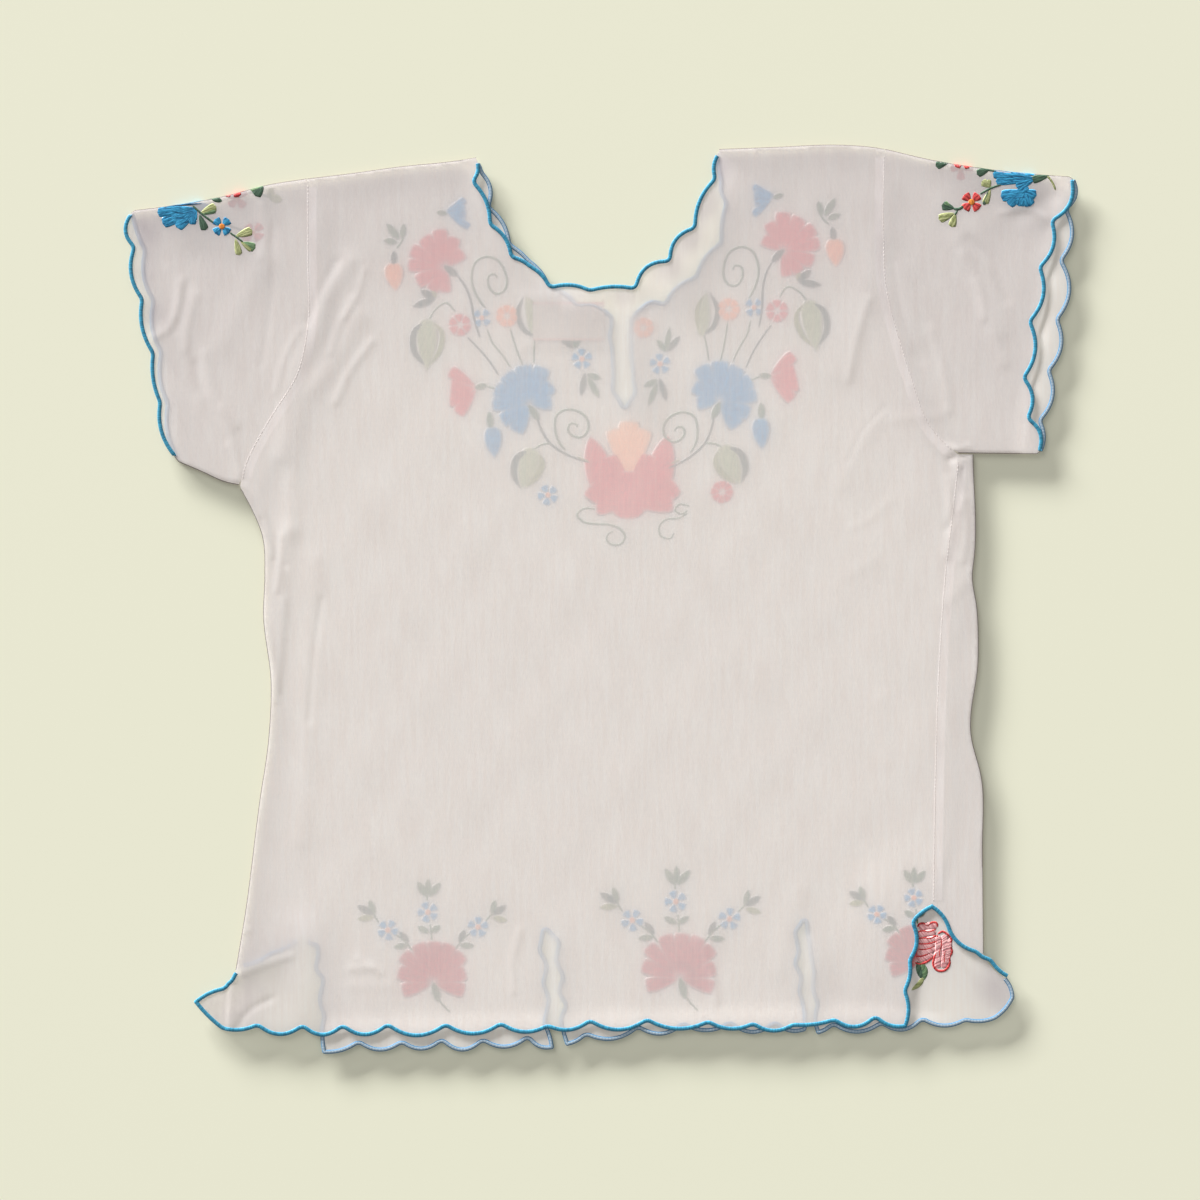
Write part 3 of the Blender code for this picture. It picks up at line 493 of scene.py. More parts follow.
def closeness(points):
    # How much less light passes straight: the under layer's share, plus a bell by each line.
    low = points[:, 2] < layout["layerSplit"]
    close = cloth["lowerClose"] * low
    for halfWidth, *line in closeLines:
        away = distanceToLine(points[:, :2], fromPhoto(np.array(line, dtype=float)))
        close += ~low * np.exp(-(away / (halfWidth * layout["photoScale"]))**2)
    return np.clip(close, 0.0, 1.0)


def objectFrom(surface, name, materials, weld=True):
    # The surface as a named object in metres, its place in its mesh and its faces outward.
    mesh = bpy.data.meshes.new(name)
    points = (np.vstack(surface["points"]) + tableShift) * mm
    mesh.from_pydata(points.tolist(), [], surface["faces"])
    mesh.polygons.foreach_set("material_index", surface["material"])
    if surface["uv"]:
        layer = mesh.uv_layers.new(name="along")
        layer.data.foreach_set("uv", np.vstack(surface["uv"]).astype(np.float32).ravel())
    work = bmesh.new()
    work.from_mesh(mesh)
    if weld:
        bmesh.ops.remove_doubles(work, verts=work.verts, dist=0.01 * mm)
    bmesh.ops.recalc_face_normals(work, faces=work.faces)
    work.to_mesh(mesh)
    work.free()
    mesh.shade_smooth()
    if "edge" in surface:
        layer = mesh.attributes.new("edge", "FLOAT", "POINT")
        layer.data.foreach_set("value", np.concatenate(surface["edge"]).astype(np.float32))
    # On the lawn, per point: how much painted shade it takes and how much light passes straight.
    if materials[0].name.startswith("white_cotton"):
        flat = np.empty(len(mesh.vertices) * 3)
        mesh.vertices.foreach_get("co", flat)
        places = flat.reshape(-1, 3) / mm - tableShift
        for kind, values in (("paintedShade", paintedShadeAmount(places)), ("close", closeness(places))):
            layer = mesh.attributes.new(kind, "FLOAT", "POINT")
            layer.data.foreach_set("value", values.astype(np.float32))
        upright = np.empty(len(mesh.polygons) * 3)
        mesh.polygons.foreach_get("normal", upright)
        # steep faces round a fold take the second, darker material: painted shade
        turned = np.abs(upright.reshape(-1, 3)[:, 2]) < cloth["turned"]
        mesh.polygons.foreach_set("material_index", turned.astype(int))
    piece = bpy.data.objects.new(name, mesh)
    bpy.context.scene.collection.objects.link(piece)
    for material in materials:
        mesh.materials.append(material)
    return piece


# Materials.
def linear(code):
    # sRGB hex to linear: (c + 0.055) / 1.055 to the power 2.4, or c / 12.92 when dark.
    values = np.array([int(code[k:k + 2], 16) / 255 for k in (1, 3, 5)])
    bright = ((values + 0.055) / 1.055)**2.4
    return (*np.where(values > 0.04045, bright, values / 12.92), 1.0)


def addNode(tree, kind, settings, inputs):
    # A node with its settings, and its inputs set or linked by name or number.
    node = tree.nodes.new(kind)
    for key, value in settings.items():
        setattr(node, key, value)
    for key, value in inputs.items():
        if isinstance(value, bpy.types.NodeSocket):
            tree.links.new(value, node.inputs[key])
        else:
            node.inputs[key].default_value = value
    return node


def newMaterial(name):
    material = bpy.data.materials.new(name)
    material.use_nodes = True
    material.node_tree.nodes.clear()
    return material, material.node_tree


cottonLook = {
    "white": "#fffbf9", "whiteSlub": "#f8f1ed",
    # the colour at full painted shade
    "paintedShade": "#ddd5d8", "paintedShadeSlub": "#d4cccf",   # at the corrections of tone
    "straight": 0.35,        # light that goes straight through between the threads
    "through": 0.28,         # of the rest, how much is scattered through
    "warp": (1 / 0.0027, 1 / 0.036),   # slub streaks, 2.7 mm wide and 36 mm long
    "weft": (1 / 0.030, 1 / 0.0019),
    "warpClose": 0.10,       # how much of the straight share a thick warp slub closes
    "weftClose": 0.02,
    "closed": 0.65,          # and how much of it the closest weave shuts off
}
# A correction in painted shade: the low lamp overlit the faces round a fold, so their colour is darker
# here.
foldShadeLook = {
    **cottonLook, "white": "#7c736f", "whiteSlub": "#766d69", "paintedShade": "#746b67", "paintedShadeSlub": "#6e6561",
}


def sheerCotton(name, look):
    # Plain-woven light cotton lawn, loosely woven and unglazed: matt, see-through, slubby.
    material, tree = newMaterial(name)
    place = addNode(tree, "ShaderNodeTexCoord", {}, {}).outputs["Object"]
    shares = []
    for threads, low, high in (("warp", 0.30, 0.70), ("weft", 0.35, 0.75)):
        scaled = addNode(tree, "ShaderNodeMapping", {}, {
            "Vector": place, "Scale": (*look[threads], 1.0)}).outputs[0]
        noise = addNode(tree, "ShaderNodeTexNoise", {"noise_dimensions": "2D"}, {
            "Vector": scaled, "Scale": 1.0, "Detail": 2.0, "Roughness": 0.7,
            "Lacunarity": 2.37}).outputs["Fac"]
        shares.append(addNode(tree, "ShaderNodeMapRange", {}, {
            "Value": noise, "From Min": low, "From Max": high}).outputs[0])
    warp, weft = shares
    slub = addNode(tree, "ShaderNodeMath", {"operation": "MULTIPLY_ADD"}, {
        0: weft, 1: 0.15, 2: warp}).outputs[0]
    # painted shade: the cloth's colour darkens by its point attribute
    tone = addNode(tree, "ShaderNodeAttribute", {"attribute_name": "paintedShade"}, {}).outputs["Fac"]
    threads = [addNode(tree, "ShaderNodeMix", {"data_type": "RGBA"}, {
        0: slub, 6: linear(look[shade]), 7: linear(look[shade + "Slub"])}).outputs[2]
        for shade in ("white", "paintedShade")]
    colour = addNode(tree, "ShaderNodeMix", {"data_type": "RGBA"}, {
        0: tone, 6: threads[0], 7: threads[1]}).outputs[2]
    openWarp = addNode(tree, "ShaderNodeMath", {"operation": "MULTIPLY_ADD"}, {
        0: warp, 1: -look["warpClose"], 2: look["straight"] + look["warpClose"] / 2}).outputs[0]
    straight = addNode(tree, "ShaderNodeMath", {"operation": "MULTIPLY_ADD"}, {
        0: weft, 1: -look["weftClose"], 2: openWarp}).outputs[0]
    close = addNode(tree, "ShaderNodeAttribute", {"attribute_name": "close"}, {}).outputs["Fac"]
    left = addNode(tree, "ShaderNodeMath", {"operation": "MULTIPLY_ADD"}, {
        0: close, 1: -look["closed"], 2: 1.0}).outputs[0]
    straight = addNode(tree, "ShaderNodeMath", {"operation": "MULTIPLY"}, {
        0: straight, 1: left}).outputs[0]
    surface = addNode(tree, "ShaderNodeBsdfPrincipled", {}, {
        "Base Color": colour, "Roughness": 0.9, "Specular IOR Level": 0.1,
        "Sheen Weight": 0.03, "Sheen Roughness": 0.5}).outputs[0]
    scattered = addNode(tree, "ShaderNodeBsdfTranslucent", {}, {"Color": colour}).outputs[0]
    clear = addNode(tree, "ShaderNodeBsdfTransparent", {}, {}).outputs[0]
    solid = addNode(tree, "ShaderNodeMixShader", {}, {
        0: look["through"], 1: surface, 2: scattered}).outputs[0]
    mixed = addNode(tree, "ShaderNodeMixShader", {}, {0: straight, 1: solid, 2: clear}).outputs[0]
    addNode(tree, "ShaderNodeOutputMaterial", {}, {"Surface": mixed})
    return material


threadLook = {
    "red": ("#d04c48", "#94282c"),
    "blue": ("#3796c0", "#125a80"),
    "darkBlue": ("#17587c", "#0e3f5c"),
    "orange": ("#e08c3c", "#c06e28"),
    "apricot": ("#f8b088", "#ee9468"),
    "peach": ("#fdc4b0", "#f4ac94"),
    "darkGreen": ("#4a6450", "#344a3a"),
    "green": ("#6f8a62", "#526f50"),
    "lightGreen": ("#aaac7c", "#7c8450"),
    "pale": ("#e6b2b0", "#b87478"),
    "white": ("#d6cec9", "#c6bdb7"),
}
# What shows of the reverse through the cloth is lighter in the reds.
reverseLook = {
    **threadLook, "red": ("#e86260", "#c8484c"), "blue": ("#48a4d2", "#2a80b0"),
    "peach": ("#fdcaa8", "#f6b68c"), "green": ("#66805a", "#4a6648"),
    "lightGreen": ("#a2a474", "#808852"), "darkGreen": ("#42584a", "#2c4034"),
    "paleGreen": ("#bcbf9c", "#a2a880"), "hemRed": ("#d24e52", "#aa383e"),
}


def embroideryFloss(name, look, fade):
    # Twisted cotton floss laid in satin stitch: a soft gloss along the threads.
    # Towards a shape's edge the cloth shows between them over a width of fade, in a greyer colour than
    # its white: painted shade.
    light, dark = look
    material, tree = newMaterial(name)
    place = addNode(tree, "ShaderNodeUVMap", {"uv_map": "along"}, {}).outputs[0]
    stretch = addNode(tree, "ShaderNodeMapping", {}, {
        "Vector": place, "Scale": (0.16, 0.80, 1.0)}).outputs[0]  # UV is in millimetres
    strands = addNode(tree, "ShaderNodeTexNoise", {}, {
        "Vector": stretch, "Scale": 1.0, "Detail": 2.0, "Roughness": 0.65}).outputs["Fac"]
    share = addNode(tree, "ShaderNodeMapRange", {}, {
        "Value": strands, "From Min": 0.38, "From Max": 0.60}).outputs[0]
    colour = addNode(tree, "ShaderNodeMix", {"data_type": "RGBA"}, {
        0: share, 6: linear(dark), 7: linear(light)}).outputs[2]
    edge = addNode(tree, "ShaderNodeAttribute", {"attribute_name": "edge"}, {}).outputs["Fac"]
    full = addNode(tree, "ShaderNodeMapRange", {"interpolation_type": "SMOOTHSTEP"}, {
        "Value": edge, "From Min": -0.1 * fade, "From Max": fade}).outputs[0]
    colour = addNode(tree, "ShaderNodeMix", {"data_type": "RGBA"}, {
        0: full, 6: linear(satin["shadedGround"]), 7: colour}).outputs[2]
    bump = addNode(tree, "ShaderNodeBump", {}, {
        "Height": strands, "Strength": 0.9, "Distance": 0.0004}).outputs[0]
    surface = addNode(tree, "ShaderNodeBsdfPrincipled", {}, {
        "Base Color": colour, "Roughness": 0.65, "Specular IOR Level": 0.2,
        "Sheen Weight": 0.1, "Normal": bump}).outputs[0]
    addNode(tree, "ShaderNodeOutputMaterial", {}, {"Surface": surface})
    return material


edgingLook = {
    "light": "#3a9bba", "dark": "#1b6684",
    "reverseLight": "#a3b4c0", "reverseDark": "#2a6a92",
    "pitch": 2.2,       # of the dashes on the reverse, mm
}


def buttonholeThread(name, look):
    # Blue cotton thread in buttonhole stitch: solid outside, a double line on the reverse.
    material, tree = newMaterial(name)
    place = addNode(tree, "ShaderNodeUVMap", {"uv_map": "along"}, {}).outputs[0]
    parts = addNode(tree, "ShaderNodeSeparateXYZ", {}, {0: place})
    along, around = parts.outputs["X"], parts.outputs["Y"]
    stretch = addNode(tree, "ShaderNodeMapping", {}, {
        "Vector": place, "Scale": (1.6, 0.8, 1.0)}).outputs[0]
    strands = addNode(tree, "ShaderNodeTexNoise", {}, {
        "Vector": stretch, "Scale": 1.0, "Detail": 2.0}).outputs["Fac"]
    share = addNode(tree, "ShaderNodeMapRange", {}, {
        "Value": strands, "From Min": 0.35, "From Max": 0.65}).outputs[0]
    right = addNode(tree, "ShaderNodeMix", {"data_type": "RGBA"}, {
        0: share, 6: linear(look["dark"]), 7: linear(look["light"])}).outputs[2]
    # around runs 0 to 0.5 over the right side and 0.5 to 1 over the reverse
    fromMiddle = addNode(tree, "ShaderNodeMath", {"operation": "SUBTRACT"}, {
        0: around, 1: 0.75}).outputs[0]
    away = addNode(tree, "ShaderNodeMath", {"operation": "ABSOLUTE"}, {0: fromMiddle}).outputs[0]
    lineShare = addNode(tree, "ShaderNodeMapRange", {"interpolation_type": "SMOOTHSTEP"}, {
        "Value": away, "From Min": 0.08, "From Max": 0.13}).outputs[0]
    turn = addNode(tree, "ShaderNodeMath", {"operation": "MULTIPLY"}, {
        0: along, 1: 2 * math.pi / look["pitch"]}).outputs[0]
    wave = addNode(tree, "ShaderNodeMath", {"operation": "SINE"}, {0: turn}).outputs[0]
    dash = addNode(tree, "ShaderNodeMath", {"operation": "MULTIPLY_ADD"}, {
        0: wave, 1: 0.18, 2: 0.14}).outputs[0]
    mark = addNode(tree, "ShaderNodeMath", {"operation": "MAXIMUM"}, {0: lineShare, 1: dash}).outputs[0]
    reverse = addNode(tree, "ShaderNodeMix", {"data_type": "RGBA"}, {
        0: mark, 6: linear(look["reverseLight"]), 7: linear(look["reverseDark"])}).outputs[2]
    isRight = addNode(tree, "ShaderNodeMapRange", {"interpolation_type": "SMOOTHSTEP"}, {
        "Value": away, "From Min": 0.235, "From Max": 0.265}).outputs[0]
    colour = addNode(tree, "ShaderNodeMix", {"data_type": "RGBA"}, {
        0: isRight, 6: reverse, 7: right}).outputs[2]
    bump = addNode(tree, "ShaderNodeBump", {}, {
        "Height": strands, "Strength": 0.4, "Distance": 0.0002}).outputs[0]
    surface = addNode(tree, "ShaderNodeBsdfPrincipled", {}, {
        "Base Color": colour, "Roughness": 0.5, "Specular IOR Level": 0.4,
        "Sheen Weight": 0.2, "Normal": bump}).outputs[0]
    addNode(tree, "ShaderNodeOutputMaterial", {}, {"Surface": surface})
    return material


satin = {
    "height": 0.15, "pressed": 0.5,
    "ring": 10,
    "lineRing": 6,
    "step": 1.1,
    "flowerHole": 0.16,
    # the cloth between the stitches at a shape's edge, greyer than white as painted shade, to match the
    # shaded cloth round the shapes
    "shadedGround": "#cfc8c3",     # the white cloth between the stitches at a shape's edge
    "softest": 2.6, "softShare": 0.45,   # mm, and share of half the width, that it fades over
    "fade": 0.02, "reverseFade": 1.0,   # how much of that fading shows
}
cottonLawn = sheerCotton("white_cotton_lawn", cottonLook)
# the fold's turn, its colour darkened as painted shade
foldShadeLawn = sheerCotton("white_cotton_fold_shade", foldShadeLook)
floss = {name: embroideryFloss("cotton_floss_" + name, look, satin["fade"])
         for name, look in threadLook.items()}
reverseFloss = {name: embroideryFloss("floss_reverse_" + name, look, satin["reverseFade"])
                for name, look in reverseLook.items()}
edgingThread = buttonholeThread("blue_buttonhole_thread", edgingLook)
print("materials made")


# Body panels.
def foldEdge(rows, inward):
    # Where a sheet starts to turn at a fold, and the direction outward.
    line = smoothLine(rows, cloth["foldStep"])
    outward = rightNormals(line) * inward
    return line - outward * cloth["foldOut"], outward


def clothEdge(rows, outward=1.0):
    # The cloth's own edge, hidden inside the worked band.
    outer = scalloped(rows, cloth["edgeStep"], outward)
    return outer - rightNormals(outer) * outward * cloth["edgeInset"]


def makeBody():
    leftSide, leftOut = foldEdge(folds["leftSide"], 1.0)
    rightSide, rightOut = foldEdge(folds["rightSide"], -1.0)
    leftShoulder, leftUp = foldEdge(folds["leftShoulder"], 1.0)
    rightShoulder, rightUp = foldEdge(folds["rightShoulder"], 1.0)
    leftOut, rightOut = leftOut * (1.0, 0.0), rightOut * (1.0, 0.0)
    leftUp, rightUp = leftUp * (0.0, 1.0), rightUp * (0.0, 1.0)
    rightArmhole = smoothLine(seams["rightArmhole"], cloth["armholeStep"])[1:][::-1]
    leftArmhole = smoothLine(seams["leftArmhole"], cloth["armholeStep"])[1:]
    rightSeam = smoothLine(seams["rightSide"], cloth["foldStep"])[::-1]
    leftSeam = smoothLine(seams["leftSide"], cloth["foldStep"])[::-1]

    back = newSurface()
    addSheet(back, np.vstack((
        clothEdge(backHem), rightSeam[1:], rightArmhole[1:], rightShoulder, clothEdge(backNeck),
        leftShoulder, leftArmhole, leftSide,
    )), upperHeight, cloth["bodyStep"])
    for edge, outward in ((leftShoulder, leftUp), (rightShoulder, rightUp)):
        addTurn(back, edge, outward, 0.0, math.pi / 2)
    addTurn(back, leftSide, leftOut, 0.0, math.pi)
    addSheet(back, np.vstack((clothEdge(leftUnderVent), leftSeam[1:-1], leftSide)),
             lowerHeight, cloth["hiddenStep"])
    backPanel = objectFrom(back, "back_panel", [cottonLawn, foldShadeLawn])

    front = newSurface()
    addSheet(front, np.vstack((
        clothEdge(frontHem), rightSide[::-1], rightArmhole, rightShoulder, clothEdge(frontNeck),
        leftShoulder, leftArmhole, leftSeam[::-1][:-1],
    )), lowerHeight, cloth["hiddenStep"])
    for edge, outward in ((leftShoulder, leftUp), (rightShoulder, rightUp)):
        addTurn(front, edge, outward, math.pi / 2, math.pi)
    addTurn(front, rightSide, rightOut, 0.0, math.pi)
    addSheet(front, np.vstack((clothEdge(rightOverVent), rightSide[::-1], rightSeam[::-1][:-1])),
             upperHeight, cloth["bodyStep"])
    frontPanel = objectFrom(front, "front_panel", [cottonLawn, foldShadeLawn])
    return backPanel, frontPanel


# Sleeves.
def tubeRing(upper, lower, topOut, underOut, steps):
    # Points and outward normals round a flat sleeve: top layer, underarm, under layer, top fold.
    high, low = upperHeight(upper), lowerHeight(lower)
    flatUp = np.tile((0.0, 0.0, 1.0), (len(upper), 1))
    flatDown = np.tile((0.0, 0.0, -1.0), (len(lower), 1))
    turns = []
    for end, outward in ((-1, underOut), (0, topOut)):
        angle = np.linspace(0.0, math.pi, steps + 1)[1:-1][:, None]
        angle = angle if end == -1 else angle[::-1]
        radius, middle = (high[end] - low[end]) / 2, (high[end] + low[end]) / 2
        share = angle / math.pi
        foot = upper[end] * (1 - share) + lower[end] * share
        out = cloth["foldOut"]
        place = np.hstack((foot + outward * out * np.sin(angle), middle + radius * np.cos(angle)))
        normal = np.hstack((outward * radius * np.sin(angle), out * np.cos(angle)))
        turns.append((place, normal / np.linalg.norm(normal, axis=1)[:, None]))
    points = np.vstack((
        np.column_stack((upper, high)), turns[0][0],
        np.column_stack((lower, low))[::-1], turns[1][0],
    ))
    return points, np.vstack((flatUp, turns[0][1], flatDown, turns[1][1]))


def atShare(rows, share):
    places = np.linspace(0.0, 1.0, len(rows))
    return np.array([np.interp(share, places, rows[:, k]) for k in (0, 1)])


def between(start, end, top, under, share):
    # A line across the sleeve at a share of the way from the armhole to the cuff.
    t = np.linspace(0.0, 1.0, len(start))[:, None]
    line = start + (end - start) * share
    return line + (1 - t) * (top - line[0]) + t * (under - line[-1])


sleeves = {
    "left": {"outward": 1.0, "upper": leftCuffUpper, "lower": leftCuffLower},
    "right": {"outward": -1.0, "upper": rightCuffUpper, "lower": rightCuffLower},
}


def makeSleeve(side):
    sleeve = sleeves[side]
    outward = sleeve["outward"]
    topEdge, topOut = foldEdge(folds[side + "SleeveTop"], outward)
    underEdge, underOut = foldEdge(folds[side + "Underarm"], -outward)
    seam = smoothLine(seams[side + "Armhole"], cloth["armholeStep"])
    cuffs = [clothEdge(sleeve[layer], outward) for layer in ("upper", "lower")]
    trims = cloth["foldOut"], cloth["underarmTrim"]
    starts = [np.vstack((resampled(seam, len(line) - 1, *trims), underEdge[:1])) for line in cuffs]
    stations = []
    for share in np.linspace(0.0, 1.0, cloth["sleeveStations"]):
        lines = [
            between(
                start, line,
                atShare(np.vstack((start[:1], topEdge[1:-1], line[:1])), share),
                atShare(np.vstack((start[-1:], underEdge[1:-1], line[-1:])), share),
                share,
            )
            for start, line in zip(starts, cuffs)
        ]
        ends = atShare(topOut, share), atShare(underOut, share)
        stations.append(tubeRing(*lines, *ends, cloth["turnSteps"])[0])
    surface = newSurface()
    addGrid(surface, np.array(stations), closed=True)
    return objectFrom(surface, "sleeve_" + side + "_cloth", [cottonLawn, foldShadeLawn])


# Worked edges.
edging = {
    "halfWidth": 1.4,
    "halfHeight": 0.45,
    "step": 0.36,       # three points to a stitch
    "pitch": 1.08,      # real stitches are about 0.6 mm, drawn wider so that they show
    "ridge": 0.16,
    "ring": 12,
    "rounding": 26,     # passes that round the band at its cusps
}
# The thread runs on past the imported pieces, so that it meets at the top of each vent.
edgingRows = {
    "hem_edging_back": ((-254.8, 39.8, 0.3), *backHem[:-1], (234.3, 84.2, 0.0)),
    "hem_edging_front": (*frontHem[:-2], (283.5, 35.7, 0.0)),
    "vent_edging_right": ((229.8, 84.4, -2.4), (243.0, 67.5, 3.0), (262.5, 52.0, 1.2),
                          (272.0, 46.6, 1.4), (285.0, 34.5, 0.0)),
}


def blended(values, passes, closed):
    # Each row blended with its neighbours, pass after pass.
    for _ in range(passes):
        before, after = np.roll(values, 1, axis=0), np.roll(values, -1, axis=0)
        if not closed:
            before[0], after[-1] = values[0], values[-1]
        values = (before + 2 * values + after) / 4
    return values


def makeBand(name, path, normals, outward, closed):
    # A flat oval along a path: path + side a cos(f) + normal b sin(f), ribbed along its length.
    if closed:
        tangents = np.roll(path, -1, axis=0) - np.roll(path, 1, axis=0)
    else:
        tangents = np.gradient(path, axis=0)
    sides = np.cross(tangents, normals) * outward
    sides /= np.linalg.norm(sides, axis=1)[:, None]
    places = np.concatenate(([0.0], np.cumsum(np.linalg.norm(np.diff(path, axis=0), axis=1))))
    ring = np.linspace(0.0, 2 * math.pi, edging["ring"], endpoint=False)
    rib = 1 - edging["ridge"] * np.abs(np.sin(math.pi * places / edging["pitch"]))
    ends = np.ones(len(path))
    if not closed:
        ends[[0, -1]], ends[[1, -2]] = 0.5, 0.9
    across = edging["halfWidth"] * np.cos(ring) * ends[:, None]
    height = edging["halfHeight"] * np.sin(ring) * (rib * ends)[:, None]
    grid = path[:, None] + sides[:, None] * across[..., None] + normals[:, None] * height[..., None]
    turn = np.append(ring, 2 * math.pi) / (2 * math.pi)
    uv = np.stack(np.broadcast_arrays(places[:, None], turn[None]), axis=-1)
    if closed:
        grid = np.concatenate((grid, grid[:1]))
        uv = np.concatenate((uv, uv[-1:] + (edging["step"], 0.0)))
    else:
        tips = [np.repeat(end.mean(axis=1, keepdims=True), len(ring), axis=1)
                for end in (grid[:1], grid[-1:])]
        grid, uv = np.concatenate((tips[0], grid, tips[1])), np.concatenate((uv[:1], uv, uv[-1:]))
    surface = newSurface()
    addGrid(surface, grid, closed=True, uv=uv)
    return objectFrom(surface, name, [edgingThread])


def bandLine(rows, outward=1.0):
    # The middle of a band along a scalloped edge, with its cusps rounded.
    outer = scalloped(rows, edging["step"], outward)
    outer = resampled(outer, round(np.hypot(*np.diff(outer, axis=0).T).sum() / edging["step"]))
    inward = rightNormals(outer) * outward
    return outer - inward / np.hypot(*inward.T)[:, None] * edging["halfWidth"]


def makeEdging(name, rows, height, rightSide):
    # A worked edge of one layer. rightSide is 1 where the cloth's right side faces up.
    middle = blended(bandLine(edgingRows.get(name, rows)), edging["rounding"], False)
    path = np.column_stack((middle, height(middle)))
    normals = np.tile((0.0, 0.0, rightSide), (len(path), 1))
    return makeBand(name + "_thread", path, normals, rightSide, False)


def ventHeight(points):
    # From the top layer down to the under one, past the end of the side fold.
    share = smoothStep((points[:, 0] - 258.0) / 16.0)
    return upperHeight(points) * (1 - share) + (lowerHeight(points) + 0.5) * share


def makeCuffEdging(side):
    sleeve = sleeves[side]
    outward = sleeve["outward"]
    topOut = foldEdge(folds[side + "SleeveTop"], outward)[1][-1]
    underOut = foldEdge(folds[side + "Underarm"], -outward)[1][-1]
    lines = [bandLine(sleeve[layer], outward) for layer in ("upper", "lower")]
    path, normals = tubeRing(*lines, topOut, underOut, 14)
    path = blended(path, edging["rounding"], True)
    return makeBand("cuff_edging_" + side + "_thread", path, normals, outward, True)


# Embroidery.
# A satin shape swells as u^a (1-u)^b along its line, and its stitches lie at a slant.
shapes = {
    "petal": (0.72, 0.18, 0.0),
    "leaf": (0.75, 0.75, 0.7),
    "bud": (0.45, 0.85, 0.0),
    "dot": (0.5, 0.5, 0.0),
    "line": (0.10, 0.10, 1.1),
    "heart": (0.42, 0.85, 0.4),
}
def satinShape(surface, kind, thread, knots, width, place, lift=0.0):
    # A flattened tube: centre line plus width cos(f) across and height sin(f) off the cloth.
    rise, fall, slant = shapes[kind]
    line = smoothLine(knots, satin["step"]) if len(knots) > 2 else np.array(knots, dtype=float)
    length = np.hypot(*np.diff(line, axis=0).T).sum()
    count = max(8, round(length / satin["step"]))
    line = resampled(line, count)
    tangent = np.gradient(line, axis=0)
    tangent /= np.hypot(*tangent.T)[:, None]
    across = np.column_stack((tangent[:, 1], -tangent[:, 0]))
    u = np.linspace(0.0, 1.0, count)
    peak = (rise / (rise + fall))**rise * (fall / (rise + fall))**fall
    share = u**rise * (1 - u)**fall / peak
    half = width / 2 * share
    ring = np.linspace(0.0, 2 * math.pi, satin["lineRing" if kind == "line" else "ring"], endpoint=False)
    offset = half[:, None] * np.cos(ring)[None]
    flat = line[:, None] + across[:, None] * offset[..., None]
    points, normals = place(flat.reshape(-1, 2))
    high = min(satin["height"], 0.3 * width) * np.sqrt(share)
    height = (high[:, None] * np.sin(ring)[None] + lift).reshape(-1, 1)
    grid = (points + normals * height).reshape(*flat.shape[:2], 3)
    along = np.broadcast_to((u * length)[:, None], offset.shape)
    first = along * math.cos(slant) + np.abs(offset) * math.sin(slant)
    second = offset * math.cos(slant) - along * math.sin(slant)
    uv = np.stack((first + knots[0][0], second + knots[0][1]), axis=-1)
    tip = (np.minimum(u, 1 - u) * length)[:, None]
    edge = np.minimum(half[:, None] * (1 - np.abs(np.cos(ring))[None]), tip)
    soft = min(satin["softest"], satin["softShare"] * width / 2)
    surface.setdefault("edge", []).append(edge.ravel() / soft)
    threads = surface.setdefault("threads", [])
    if thread not in threads:
        threads.append(thread)
    addGrid(surface, grid, True, threads.index(thread), np.hstack((uv, uv[:, :1])))


def stitchMotif(surface, motif, turn, place):
    # Works a motif's rows. turn maps its pixels to the photograph's, place lifts them.
    scale = layout["photoScale"]
    for kind, thread, x0, y0, x1, y1, width in motif.get("shapes", ()):
        ends = fromPhoto(turn(np.array(((x0, y0), (x1, y1)), dtype=float)))
        satinShape(surface, kind, thread, ends, width * scale, place)
    for thread, centre, x, y, radius, petals, first, width in motif.get("flowers", ()):
        angle = first + np.arange(petals) * 2 * math.pi / petals
        for spoke in np.column_stack((np.cos(angle), np.sin(angle))):
            ends = np.array((x, y)) + np.outer((satin["flowerHole"] * radius, radius), spoke)
            satinShape(surface, "petal", thread, fromPhoto(turn(ends)), width * scale, place)
        if centre:
            ends = np.array((x, y)) + np.outer((-0.3 * radius, 0.3 * radius), (0.0, 1.0))
            satinShape(surface, "dot", centre, fromPhoto(turn(ends)), 0.6 * radius * scale, place, 0.12)
    for thread, width, *knots in motif.get("blades", ()):
        path = fromPhoto(turn(np.array(knots, dtype=float)))
        satinShape(surface, "leaf", thread, path, width * scale, place)
    for thread, width, *knots in motif.get("lines", ()):
        path = fromPhoto(turn(np.array(knots, dtype=float)))
        satinShape(surface, "line", thread, path, width * scale, place)


